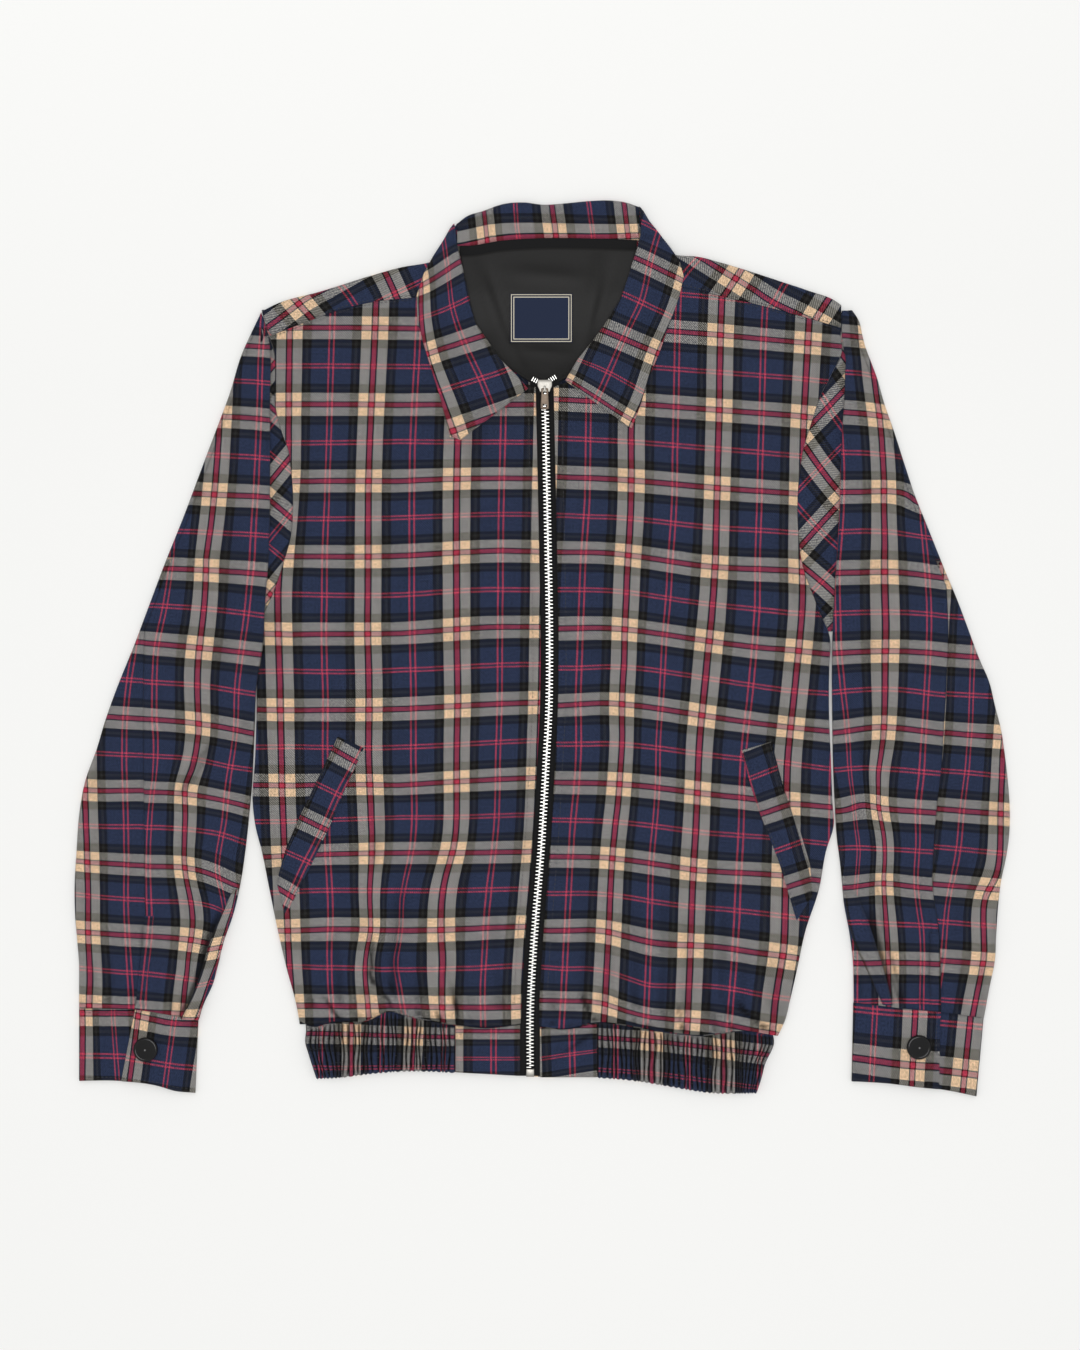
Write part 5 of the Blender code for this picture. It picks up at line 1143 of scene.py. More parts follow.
def cuff(hand):
    """One strip round the wrist that overlaps itself: underlap, outer edge, underside, inner edge, overlap."""
    first, second = (reader(points, "x") for points in CUFF_SIDES[hand])
    panel = Panel(first, second, CUFF_TOP[hand], CUFF_BOTTOM[hand])
    strips = []
    for v in spread(0, 1, CUFF_DEPTH, 2.2, CUFF_EDGE):
        inward, length = panel.row(v)
        end_x = CUFF_OVERLAP_END[hand][0] * (1 - v) + CUFF_OVERLAP_END[hand][1] * v
        overlap_end = panel.share(end_x, panel.at(0.5, v)[1])
        under_end = overlap_end + CUFF_UNDERLAP / length
        edge = FOLD_RADIUS / length
        drop = eased(min(v, 1 - v) * CUFF_DEPTH, 0.8, 2.6)
        strip = Strip(COLLAR_CLOTH)
        for share in np.linspace(under_end, edge, 20)[:-1]:
            x, y = panel.at(share, v)
            strip.add(x, y, 2 * FOLD_RADIUS + drop, UP)
        known_first = len(strip.points)
        for angle in reversed(FINE_CURL):
            point = panel.at(edge * (1 - math.cos(angle)), v)
            strip.add(*point, FOLD_RADIUS * (1 + math.sin(angle)), curl_normal(-inward, angle))
        for share in np.linspace(edge, 1 - edge, 24)[1:-1]:
            strip.add(*panel.at(share, v), 0.0, -UP)
        for angle in FINE_CURL:
            point = panel.at(1 - edge * (1 - math.cos(angle)), v)
            strip.add(*point, FOLD_RADIUS * (1 + math.sin(angle)), curl_normal(inward, angle))
        known_last = len(strip.points)
        flat_from = under_end + 3.0 / length
        for share in even(overlap_end, 1 - edge, 26, length, CUFF_EDGE)[:-1][::-1]:
            x, y = panel.at(share, v)
            z = cuff_height(flat_from, share) + drop + eased((share - overlap_end) * length, 0.8, 2.6)
            strip.add(x, y, z + 0.35 * ripple(1.7 * x, 1.7 * y) * step((1 - share) * length / 12), UP)
        strips.append(strip)
    outer, inner = both_faces(strips)
    under = check_at("cuff_under_" + hand, outer[:known_first, :, 0], outer[:known_first, :, 1])
    over = check_at("cuff_over_" + hand, outer[known_last:, :, 0], outer[known_last:, :, 1])
    check = unrolled(outer, under, 0, known_first)
    middle = (known_first + known_last) // 2
    check[middle:] = unrolled(outer, over, known_last, len(outer))[middle:]
    return wall("cuff_" + hand, outer, inner, check, TWILL)


def band_top(x, y):
    """Height of the waistband's front face."""
    from_right = x - follow(BAND_SIDES, "y", "right", y)
    from_left = follow(BAND_SIDES, "y", "left", y) - x
    return 2 * COLLAR_CLOTH + SEAM + BAND_LOFT * step(np.minimum(from_right, from_left) / 24)


def band_side(hand):
    """A side of the waistband, which draws in just below the body."""
    inwards = toward_zip(hand)
    outline = reader(BAND_SIDES, "right" if hand == "R" else "left")
    return lambda y: outline(y) + inwards * BAND_INSET * step((y - BAND_MIDDLE_Y) / 16)


def band_tab(hand):
    """The plain end of the waistband beside the zip."""
    first, second = BAND_TAB_ENDS[hand]
    top = [point for point in WAIST if first - 8 < point.x < second + 8]
    bottom = [point for point in HEM if first - 12 < point.x < second + 12]
    panel = Panel(at_x(first), at_x(second), top, bottom)
    width = abs(second - first)
    u, v = grid(width, TAB_DEPTH, 2.2, 2.0)
    x, y = panel.at(u, v)
    z = band_top(x, y) + eased(np.minimum(u, 1 - u) * width, 0.7, 2.4)
    z = z + eased(np.minimum(v, 1 - v) * TAB_DEPTH, 0.8, 2.6)
    z = z + 0.35 * ripple(1.6 * x, 1.6 * y) + folds_at(BODY_CREASES, x, y)
    return ply("waistband_tab_" + hand, x, y, z, COLLAR_CLOTH, "tab_" + hand)


def elastic(hand):
    """A ruched stretch: upright ribs on its outer face, pinched by rows of stitches, and a plain inner face."""
    side = band_side(hand)
    far = BAND_TAB_ENDS["R"][0] - SEAM if hand == "R" else BAND_TAB_ENDS["L"][1] + SEAM
    near = float(side(BAND_MIDDLE_Y))
    width = abs(far - near)
    ribs = int(round(width / RIB_PITCH))
    widths = 1 + 0.28 * np.sin(2.4 * np.arange(ribs)) + 0.2 * np.sin(5.1 * np.arange(ribs))
    ends_of = np.concatenate([[0.0], np.cumsum(widths)]) / widths.sum()
    phase = np.linspace(0, ribs, 10 * ribs + 1)
    places = np.interp(phase, np.arange(ribs + 1), ends_of)
    u, v = np.meshgrid(places, spread(0, 1, BAND_DEPTH, 1.3), indexing="ij")
    at = np.meshgrid(phase, v[0], indexing="ij")[0]
    lean = (0.5 * np.sin(u * 19 + v * 5) + 0.35 * np.sin(u * 53 - v * 9)) * step(u / 0.05) * step((1 - u) / 0.05)
    x = near + (far - near) * u + lean
    y = follow(WAIST, "x", "y", x) * (1 - v) + follow(HEM, "x", "y", x) * v
    x = x + (side(y) - near) * np.clip(1 - np.abs(x - near) / 30, 0, 1)
    y = follow(WAIST, "x", "y", x) * (1 - v) + follow(HEM, "x", "y", x) * v
    ridge = np.clip(1.4 * np.abs(np.sin(np.pi * at)) - 0.4, 0, 1)
    strength = 0.85 + 0.2 * np.sin(u * 47 + 2 * v) + 0.12 * np.sin(u * 113)
    pinched = 1.0
    for row in ELASTIC_ROWS:
        pinched = pinched * (1 - 0.55 * np.exp(-(((v - row) * BAND_DEPTH) / 1.1) ** 2))
    ends = step(v / 0.06) * step((1 - v) / 0.06)
    rise = FULL_RIB * ridge * strength * (0.35 + 0.65 * pinched) * (0.45 + 0.55 * ends) - RIB_SINK
    y = y - 0.7 * ridge * step((v - 0.9) / 0.1)
    base = band_top(x, y)
    inner = np.stack([x, y, base - COLLAR_CLOTH], axis=-1)
    drop = eased(np.minimum(v, 1 - v) * BAND_DEPTH, 0.8, 2.6)
    outer = inner + UP * (COLLAR_CLOTH + rise + drop)[..., None]
    # painted shade: darker in the crevices between the ribs and along the pinched rows of stitches
    painted_crevice_shade = np.clip(1.0 - 1.7 * ridge, 0, 1) * ends + 0.5 * np.clip(1 - pinched, 0, 1) * (1 - ridge)
    return wall("waistband_elastic_" + hand, outer, inner, check_at("elastic_" + hand, x, y), TWILL, painted_crevice_shade)


def band_back():
    """The waistband's back ply, flat on the table."""
    panel = Panel(band_side("R"), band_side("L"), moved(BACK_WAIST, SEAM), HEM)
    x, y = panel.at(*grid(370, 45, 3.6, 3.0))
    return ply("waistband_back", x, y, 0 * x + COLLAR_CLOTH, COLLAR_CLOTH, "back")


def welt(hand):
    """A pocket welt, laid on its front."""
    u, v = grid(WELT_WIDTH, WELT_LENGTH, 1.8, 2.2, NARROW_EDGE)
    at = CrossRow(*columns_at(WELT[hand], v))
    x = at.from_x * (1 - u) + at.to_x * u
    y = at.from_y * (1 - u) + at.to_y * u
    z = body_top(x, y) + LAID_ON + TRIM + 0.5 * ripple(x, y)
    for share, size in ((u, WELT_WIDTH), (v, WELT_LENGTH)):
        z = z + eased(np.minimum(share, 1 - share) * size, 0.5, 1.6)
    return ply("welt_" + hand, x, y, z, TRIM)


def leaf_base(hand, x, y):
    """Height of what the collar leaf lies on, with its clearance."""
    off = step((y - LEAF_LEAVES_SHOULDER_Y[hand]) / 12)
    return body_top(x, y) * (1 - off) + COLLAR_CLOTH * off + LEAF_CLEARANCE


def leaf(hand):
    """A pointed front part of the collar: under the roll, over it and out to the free edge."""
    strips = []
    for v in spread(0, 1, LEAF_LENGTH, 2.4):
        from_x, from_y, to_x, to_y = columns_at(LEAF[hand], v)
        length = math.hypot(to_x - from_x, to_y - from_y)
        outward = np.array([from_x - to_x, from_y - to_y, 0.0]) / length
        lip = min(LIP, 0.4 * length)
        from_end = min(v, 1 - v) * LEAF_LENGTH

        def at(offset):
            share = offset / length
            return from_x + (to_x - from_x) * share, from_y + (to_y - from_y) * share

        roll_base = float(leaf_base(hand, from_x, from_y))
        strip = Strip(COLLAR_CLOTH)
        for offset in (lip, (lip + LEAF_RADIUS) / 2):
            x, y = at(offset)
            strip.add(x, y, leaf_base(hand, x, y), -UP)
        for angle in FINE_CURL:
            point = at(LEAF_RADIUS * (1 - math.cos(angle)))
            strip.add(*point, roll_base + LEAF_RADIUS * (1 + math.sin(angle)), curl_normal(outward, angle))
        for share in spread(0, 1, 40, 2.4)[1:]:
            offset = LEAF_RADIUS + (length - LEAF_RADIUS) * share
            x, y = at(offset)
            over_lip = 1 - step((offset - lip) / (0.45 * length))
            z = leaf_base(hand, x, y) + COLLAR_CLOTH + (COLLAR_CLOTH + SEAM) * over_lip
            z = z + eased(length - offset, 0.9, 2.6) + (eased(from_end, 0.9, 2.6) if v > 0.5 else 0.0)
            strip.add(x, y, z, UP)
        strips.append(strip)
    return folded("collar_leaf_" + hand, strips, 2 + len(FINE_CURL), len(strips[0].points), "leaf_" + hand)


def collar_back():
    """The collar behind the neck: the fall under the back, the roll and the stand down to the neck seam."""
    fall = Panel(reader(BACK_FALL_SIDES, "right"), reader(BACK_FALL_SIDES, "left"), BACK_ROLL, BACK_FALL_EDGE)
    stand = Panel(at_x(STAND_ENDS[0]), at_x(STAND_ENDS[1]), moved(BACK_ROLL, ROLL_RADIUS), NECK_SEAM)
    outward = np.array([0.0, 1.0, 0.0])
    strips = []
    for u in spread(0, 1, 150, 2.6):
        y = fall.at(u, np.array([0.0, 1.0]))[1]
        depth = abs(y[1] - y[0])
        strip = Strip(COLLAR_CLOTH)
        for v in np.linspace(1.0, 0.1, 14):
            strip.add(*fall.at(u, v), 0.0, -UP)
        for angle in FINE_CURL:
            x, at_y = fall.at(u, ROLL_RADIUS * (1 - math.cos(angle)) / depth)
            over = step((math.degrees(angle) + 90) / 180)
            x = x * (1 - over) + stand.at(u, 0.0)[0] * over
            strip.add(x, at_y, ROLL_RADIUS * (1 + math.sin(angle)), curl_normal(outward, angle))
        first = len(strip.points)
        for v in np.linspace(0.0, 1.0, 14)[1:]:
            strip.add(*stand.at(u, v), 2 * ROLL_RADIUS - 1.2 * step(v) + eased((1 - v) * 26, 0.9, 3.0), UP)
        strips.append(strip)
    return folded("collar_back", strips, first, len(strips[0].points), "stand")


def over_back(x, y, height):
    """The upper face of what lies on the back, at a height above it."""
    return collar_lift(x, y) + CLOTH + SEAM + height


def laid(name, panel, size, height, material, rough=None):
    """A thin trimming that lies on the back, inside the neck."""
    u, v = grid(*size, 2.4, 2.4, (0.4, 1.0))
    x, y = panel.at(u, v)
    from_edge = np.minimum(np.minimum(u, 1 - u) * size[0], np.minimum(v, 1 - v) * size[1])
    z = over_back(x, y, height) + eased(from_edge, 0.3, 1.2)
    if rough is not None:
        z = z + rough(x, y) * step(from_edge / 8)
    return ply(name, x, y, z, TRIM, np.stack([u * size[0], v * size[1]], axis=-1), material=material)


def neck_tape():
    """The tape that covers the back neck seam."""
    top = moved(NECK_SEAM, SEAM)
    panel = Panel(at_x(NECK_TAPE_ENDS[0]), at_x(NECK_TAPE_ENDS[1]), top, moved(top, NECK_TAPE_WIDTH))
    return laid("neck_tape", panel, (138, 8), TRIM, TAPE_CLOTH)


def lining():
    """The back lining, as far as it shows inside the neck."""
    bottom = [Point(-20, LINING_BOTTOM_Y), Point(20, LINING_BOTTOM_Y)]
    top = moved(NECK_SEAM, NECK_TAPE_WIDTH - SEAM)
    panel = Panel(reader(LINING_SIDES, "right"), reader(LINING_SIDES, "left"), top, bottom)

    def rough(x, y):
        under_zip = step((222 - y) / 6)
        return folds_at(LINING_CREASES, x, y) * (1 - under_zip) - 0.7 * under_zip

    return laid("lining_back", panel, (128, 112), TRIM, SATIN, rough=rough)


def label():
    """The bare woven label on the back lining."""
    top = [Point(x, LABEL_TOP_Y) for x in LABEL_ENDS]
    bottom = [Point(x, LABEL_BOTTOM_Y) for x in LABEL_ENDS]
    panel = Panel(at_x(LABEL_ENDS[0]), at_x(LABEL_ENDS[1]), top, bottom)
    return laid("label", panel, LABEL_SIZE, 2 * TRIM + LAID_ON, DAMASK)


def zip_tape(hand):
    """One side of the zip's woven tape, from the chain to under the front's edge."""
    inwards = toward_zip(hand)
    near, far = SEAM, TAPE_REACH
    v, u = np.meshgrid(spread(0, 1, ZIP_LENGTH, 3.0), spread(0, 1, far - near, 1.3, (0.4, 0.9)), indexing="ij")
    y = ZIP_TOP_Y - ZIP_LENGTH * v
    reach = near + (far - near) * u
    x = follow(ZIP_LINE, "y", "x", y) - inwards * reach
    under_teeth = 1 - step((reach - CHAIN_HALF_WIDTH + 0.6) / 1.2)
    z = CHAIN_LOW + TAPE - 0.35 * under_teeth + 0.3 * np.exp(-((reach - 4.6) / 0.8) ** 2)
    return ply("zip_tape_" + hand, x, y, z, TAPE, np.stack([reach, v * ZIP_LENGTH], axis=-1), material=TAPE_CLOTH)


def linear(code):
    """A linear colour from a hex sRGB one."""
    parts = [int(code[i:i + 2], 16) / 255 for i in (0, 2, 4)]
    return tuple(c / 12.92 if c <= 0.04045 else ((c + 0.055) / 1.055) ** 2.4 for c in parts) + (1.0,)


def feed(node, values):
    """Gives a node's inputs, by place or by name, a value or another node's output."""
    for key, value in values.items():
        socket = node.inputs[key.replace("_", " ") if isinstance(key, str) else key]
        if isinstance(value, bpy.types.NodeSocket):
            node.id_data.links.new(value, socket)
        else:
            socket.default_value = value


def add(material, kind, *values, bands=(), **named):
    """One node. Inputs come in order or by their capitalised names, settings by names in small letters, and bands are
    the starts and colours of a ramp. It gives back the node's one output, or the node where there are more."""
    node = material.node_tree.nodes.new("ShaderNode" + kind)
    for key in [key for key in named if key[0].islower()]:
        setattr(node, key, named.pop(key))
    feed(node, dict(enumerate(values)) | named)
    for i, (start, colour) in enumerate(bands):
        node.color_ramp.interpolation = "CONSTANT"
        element = node.color_ramp.elements[i] if i < 2 else node.color_ramp.elements.new(start)
        element.position, element.color = start, colour
    outputs = [socket for socket in node.outputs if socket.enabled]
    return outputs[0] if len(outputs) == 1 else node


def start_material(name, **values):
    """A new material, its shader with some values set, and the function that adds its nodes."""
    material = bpy.data.materials.new(name)
    material.use_nodes = True
    shader = material.node_tree.nodes["Principled BSDF"]
    feed(shader, values)
    return material, shader, partial(add, material)


def stripe_bands(stripes, half):
    """A ramp's bands for half a repeat. The colour's alpha holds the yarn's strength in the weave."""
    starts = [0.0] + [stripe.reach / half for stripe in stripes[:-1]]
    colours = [linear(YARN[stripe.yarn])[:3] + (STRENGTH.get(stripe.yarn, 0.0),) for stripe in stripes]
    return list(zip(starts, colours))


def checked_twill():
    """Cotton twill woven from dyed yarns: each stripe's colour runs in the warp or the weft, and where two stripes
    cross the eye sees both yarns as fine slanting steps. A matte face with a faint fuzz of fibre ends."""
    material, shader, node = start_material(
        "checked_twill", Roughness=0.9, Specular_IOR_Level=0.2, Sheen_Weight=0.05, Sheen_Roughness=0.5,
    )
    place = node("UVMap", uv_map="cloth")
    warp, weft = node("SeparateXYZ", place).outputs[:2]
    wobble = node("TexNoise", Vector=place, Scale=0.09, Detail=2.0).outputs["Fac"]
    sway = node("Math", wobble, 0.5, -0.25, operation="MULTIPLY_ADD")
    yarns = []
    for line, way, stripes, half in (
        (warp, "ADD", WARP_STRIPES, WARP_HALF), (weft, "SUBTRACT", WEFT_STRIPES, WEFT_HALF),
    ):
        mirrored = node("Math", node("Math", line, sway, operation=way), half, operation="PINGPONG")
        share = node("Math", mirrored, half, operation="DIVIDE")
        yarns += node("ValToRGB", share, bands=stripe_bands(stripes, half)).outputs
    warp_colour, warp_strength, weft_colour, weft_strength = yarns

    # The weave: slanting steps of warp and weft, uneven as spun yarns are. A dark yarn covers the one it crosses.
    grain = node("TexNoise", Vector=place, Scale=1.3, Detail=2.0).outputs["Fac"]
    diagonal = node("Math", grain, 0.9, node("Math", warp, weft, operation="ADD"), operation="MULTIPLY_ADD")
    wave = node("Math", node("Math", diagonal, 2 * math.pi / TWILL_PITCH, operation="MULTIPLY"), operation="SINE")
    heather = node("TexNoise", Vector=place, Scale=0.75, Detail=4.0, Roughness=0.7).outputs["Fac"]
    mask = node("Math", wave, TWILL_CONTRAST, WEFT_SHARE, operation="MULTIPLY_ADD")
    mask = node("Math", heather, HEATHER, mask, operation="MULTIPLY_ADD")
    dark_warp = node("Math", warp_strength, 0.5, 0.2, operation="COMPARE")
    dark_weft = node("Math", weft_strength, 0.5, 0.2, operation="COMPARE")
    cover = node("Math", dark_weft, dark_warp, operation="SUBTRACT")
    mask = node("Math", cover, DARK_COVERS, mask, operation="MULTIPLY_ADD", use_clamp=True)
    woven = node("Mix", data_type="RGBA", Factor=mask, A=warp_colour, B=weft_colour)
    both = node("Math", warp_strength, weft_strength, operation="MULTIPLY")
    both_pale = node("Math", both, 0.9, operation="GREATER_THAN")
    tinted = node("Mix", data_type="RGBA", blend_type="MULTIPLY", Factor=both_pale, A=woven, B=PALE_CROSSING)

    # The level of the colour: thick and thin yarns, a slow clouding, and painted shade in the hollows.
    slub_a, slub_b = (
        node("TexNoise", Vector=node("Mapping", Vector=place, Scale=stretch), Scale=1.0, Detail=2.0).outputs["Fac"]
        for stretch in ((1.1, 0.035, 1.0), (0.035, 1.1, 1.0))
    )
    slubs = node("Math", slub_a, slub_b, operation="ADD")
    cloud = node("TexNoise", Vector=place, Scale=0.035, Detail=3.0).outputs["Fac"]
    level = -0.81
    for source, weight in ((slubs, 0.5), (heather, 2.5), (wave, 0.1), (cloud, 0.12)):
        level = node("Math", source, weight, level, operation="MULTIPLY_ADD")
    # painted shade: the UV map "hollow" darkens the colour in creases and crevices
    depth = node("SeparateXYZ", node("UVMap", uv_map="hollow")).outputs["X"]
    left = node("Math", depth, -PAINTED_SHADE_STRENGTH, 1.0, operation="MULTIPLY_ADD")
    level = node("Math", level, left, operation="MULTIPLY")
    toned = node("VectorMath", tinted, level, operation="MULTIPLY")
    height = node("Math", slubs, 1.2, wave, operation="MULTIPLY_ADD")
    height = node("Math", heather, 2.0, height, operation="MULTIPLY_ADD")
    feed(shader, {"Base_Color": toned, "Normal": node("Bump", Strength=0.5, Distance=0.00016, Height=height)})
    return material


def plain_cloth(name, code, rib_pitch, rib_depth, roughness, specular):
    """A plain woven cloth of one colour, with fine ribs along its length and a faintly uneven dye."""
    material, shader, node = start_material(
        name, Base_Color=linear(code), Roughness=roughness, Specular_IOR_Level=specular,
    )
    place = node("UVMap", uv_map="cloth")
    turns = node("Math", node("SeparateXYZ", place).outputs["X"], 2 * math.pi / rib_pitch, operation="MULTIPLY")
    noise = node("TexNoise", Vector=place, Scale=0.9, Detail=3.0).outputs["Fac"]
    height = node("Math", noise, 0.8, node("Math", turns, operation="SINE"), operation="MULTIPLY_ADD")
    dark, light = (tuple(c * tone for c in linear(code)[:3]) + (1.0,) for tone in (0.75, 1.3))
    shade = node("Mix", data_type="RGBA", Factor=noise, A=dark, B=light)
    feed(shader, {"Base_Color": shade, "Normal": node("Bump", Strength=0.5, Distance=rib_depth, Height=height)})
    return material


def label_damask():
    """A woven satin label, dark blue and bare, with a double frame of pale thread round its edge."""
    material, shader, node = start_material("label_damask", Roughness=0.6, Specular_IOR_Level=0.2)
    sides = node("SeparateXYZ", node("UVMap", uv_map="cloth")).outputs[:2]
    from_edge = [
        node("Math", side, node("Math", size, side, operation="SUBTRACT"), operation="MINIMUM")
        for side, size in zip(sides, LABEL_SIZE)
    ]
    inside = node("Math", node("Math", *from_edge, operation="MINIMUM"), 10.0, operation="DIVIDE")
    frames = node("ValToRGB", inside, bands=[(start, linear(code)) for start, code in LABEL_FRAME])
    waves = node("Math", node("Math", sides[1], 2 * math.pi / 0.8, operation="MULTIPLY"), operation="SINE")
    bump = node("Bump", Strength=0.4, Distance=0.00008, Height=waves)
    feed(shader, {"Base_Color": frames.outputs["Color"], "Normal": bump})
    return material


def metal(name, code, roughness):
    """Cast and tumbled metal: its reflections are broken up a little by fine unevenness."""
    material, shader, node = start_material(name, Base_Color=linear(code), Metallic=1.0, Roughness=roughness)
    noise = node("TexNoise", Vector=node("TexCoord").outputs["Object"], Scale=900.0, Detail=3.0).outputs["Fac"]
    rough = node("Math", noise, 0.2, roughness - 0.1, operation="MULTIPLY_ADD")
    feed(shader, {"Roughness": rough, "Normal": node("Bump", Strength=0.2, Distance=0.00001, Height=noise)})
    return material


def select_all():
    bpy.ops.mesh.select_all(action="SELECT")


def start_solid(name, material, kind, **settings):
    """A primitive in edit mode, in metres, ready to be cut and shaped."""
    for thing in bpy.context.selected_objects:
        thing.select_set(False)
    getattr(bpy.ops.mesh, "primitive_" + kind + "_add")(**settings)
    thing = bpy.context.active_object
    thing.name = name
    thing.data.name = name
    thing.data.materials.append(material)
    bpy.ops.object.mode_set(mode="EDIT")
    bpy.ops.mesh.select_mode(type="FACE")
    select_all()
    return thing


def start_block(name, material, size, middle):
    """A box in edit mode with this size and middle, in millimetres."""
    thing = start_solid(name, material, "cube", size=1.0)
    bpy.ops.transform.resize(value=tuple(s * MM for s in size), center_override=(0, 0, 0))
    slide(*middle)
    return thing


def pick(test, kind="FACE"):
    """Selects the faces or vertices of the edited mesh whose place and normal pass a test, in millimetres."""
    mesh = bpy.context.active_object.data
    work = bmesh.from_edit_mesh(mesh)
    bpy.ops.mesh.select_mode(type=kind)
    bpy.ops.mesh.select_all(action="DESELECT")
    for element in work.faces if kind == "FACE" else work.verts:
        spot = element.calc_center_median() if kind == "FACE" else element.co
        if test(np.array(spot) / MM, np.array(element.normal)):
            element.select_set(True)
    work.select_flush_mode()
    bmesh.update_edit_mesh(mesh)


def end_solid(thing, bevel, segments=2):
    """Leaves edit mode, rounds the edges that turn sharply, smooths the faces and puts the object at the origin."""
    bpy.ops.object.mode_set(mode="OBJECT")
    if bevel:
        rounding = thing.modifiers.new("rounding", "BEVEL")
        rounding.width = bevel * MM
        rounding.segments = segments
        rounding.limit_method = "ANGLE"
        rounding.angle_limit = math.radians(40)
        bpy.ops.object.modifier_apply(modifier=rounding.name)
    bpy.ops.object.shade_smooth_by_angle(angle=math.radians(35))
    bpy.ops.object.transform_apply(location=True, rotation=True, scale=True)
    return thing


def slide(x=0.0, y=0.0, z=0.0):
    bpy.ops.transform.translate(value=(x * MM, y * MM, z * MM))


def extrude(x=0.0, y=0.0, z=0.0):
    bpy.ops.mesh.extrude_region_move(TRANSFORM_OT_translate={"value": (x * MM, y * MM, z * MM)})


def widen(x, y, middle=(0.0, 0.0, 0.0)):
    bpy.ops.transform.resize(value=(x, y, 1.0), center_override=tuple(m * MM for m in middle))


def bisect(x=None, y=None):
    """A cut through the whole of the edited mesh at one x or one y."""
    select_all()
    place, normal = ((x * MM, 0, 0), (1, 0, 0)) if y is None else ((0, y * MM, 0), (0, 1, 0))
    bpy.ops.mesh.bisect(plane_co=place, plane_no=normal)


def button(hand):
    """A shank button: a rounded rim round a shallow dish."""
    middle = (BUTTONS[hand].x, BUTTONS[hand].y, 2 * FOLD_RADIUS + CUFF_STEP + SEAM)
    before = BUTTON_TURNS[0]
    thing = start_solid(
        "hard_button_" + hand, PLASTIC, "circle", vertices=72, radius=before.radius * MM, fill_type="NGON",
        location=tuple(m * MM for m in middle),
    )
    for turn in BUTTON_TURNS[1:]:
        extrude(z=turn.height - before.height)
        widen(turn.radius / before.radius, turn.radius / before.radius, middle)
        before = turn
    return end_solid(thing, bevel=0)


def one_tooth():
    """A zip tooth seen from above: a rounded head on a narrower shank."""
    thing = start_block("tooth", ZIP_METAL, (TOOTH_LENGTH, TOOTH_WIDTH, CHAIN_HIGH - CHAIN_LOW - 0.2), (0, 0, 0))
    pick(lambda spot, normal: spot[0] > 0, "VERT")
    widen(1.0, 1.25)
    return end_solid(thing, bevel=0.28, segments=1)


def copies(name, model, frames, material):
    """One mesh from many copies of a model. A frame is a matrix with the place as its last column."""
    mesh = model.data
    points = np.empty(len(mesh.vertices) * 3)
    mesh.vertices.foreach_get("co", points)
    points = points.reshape(-1, 3)
    faces = [tuple(face.vertices) for face in mesh.polygons]
    all_points, all_faces = [], []
    for number, placed in enumerate(frames):
        placed = np.asarray(placed, float)
        all_points.append(points @ placed[:3, :3].T + placed[:3, 3])
        all_faces += [tuple(v + number * len(points) for v in face) for face in faces]
    mesh = bpy.data.meshes.new(name)
    mesh.from_pydata(np.concatenate(all_points).tolist(), [], all_faces)
    mesh.materials.append(material)
    mesh.shade_smooth()
    mesh.set_sharp_from_angle(angle=math.radians(40))
    thing = bpy.data.objects.new(name, mesh)
    bpy.context.scene.collection.objects.link(thing)
    return thing


def zip_chain():
    """Two rows of teeth that mesh along the zip's line, and stand apart above the slider."""
    model = one_tooth()
    frames = []
    middle_z = 0.5 * (CHAIN_LOW + CHAIN_HIGH)
    for k in range(2 * int((CHAIN_TOP_Y - CHAIN_BOTTOM_Y) / TOOTH_PITCH)):
        side = 1 if k % 2 else -1
        y = CHAIN_BOTTOM_Y + (k + 0.7) * TOOTH_PITCH / 2
        if y <= CHAIN_TOP_Y - 1:
            x = float(follow(ZIP_LINE, "y", "x", y)) + side * 1.15
            frames.append([[-side, 0, 0, x * MM], [0, -side, 0, y * MM], [0, 0, 1, middle_z * MM]])
    for side, count, first, pace in ((1, 5, (4.6, 213.4), (1.5, 0.95)), (-1, 4, (-2.6, 213.0), (-1.6, 0.85))):
        way = np.array([*pace, 0.0]) / math.hypot(*pace)
        across = np.cross(UP, way) * side
        for k in range(count):
            place = np.array([first[0] + k * pace[0], first[1] + k * pace[1], 4.3]) * MM
            frames.append(np.column_stack([-across, -np.cross(UP, across), UP, place]))
    chain = copies("hard_zip_chain", model, frames, ZIP_METAL)
    bpy.data.objects.remove(model)
    return chain


def zip_box():
    """The retainer box at the bottom of the zip."""
    top, bottom = CHAIN_BOTTOM_Y - SEAM, ZIP_BOX_BOTTOM_Y
    x = float(follow(ZIP_LINE, "y", "x", top))
    low, high = CHAIN_LOW, CHAIN_HIGH + 0.3
    size = (2 * CHAIN_HALF_WIDTH, top - bottom, high - low)
    middle = (x, 0.5 * (top + bottom), 0.5 * (low + high))
    return end_solid(start_block("hard_zip_box", SHADED_ZIP_METAL, size, middle), bevel=0.6, segments=3)


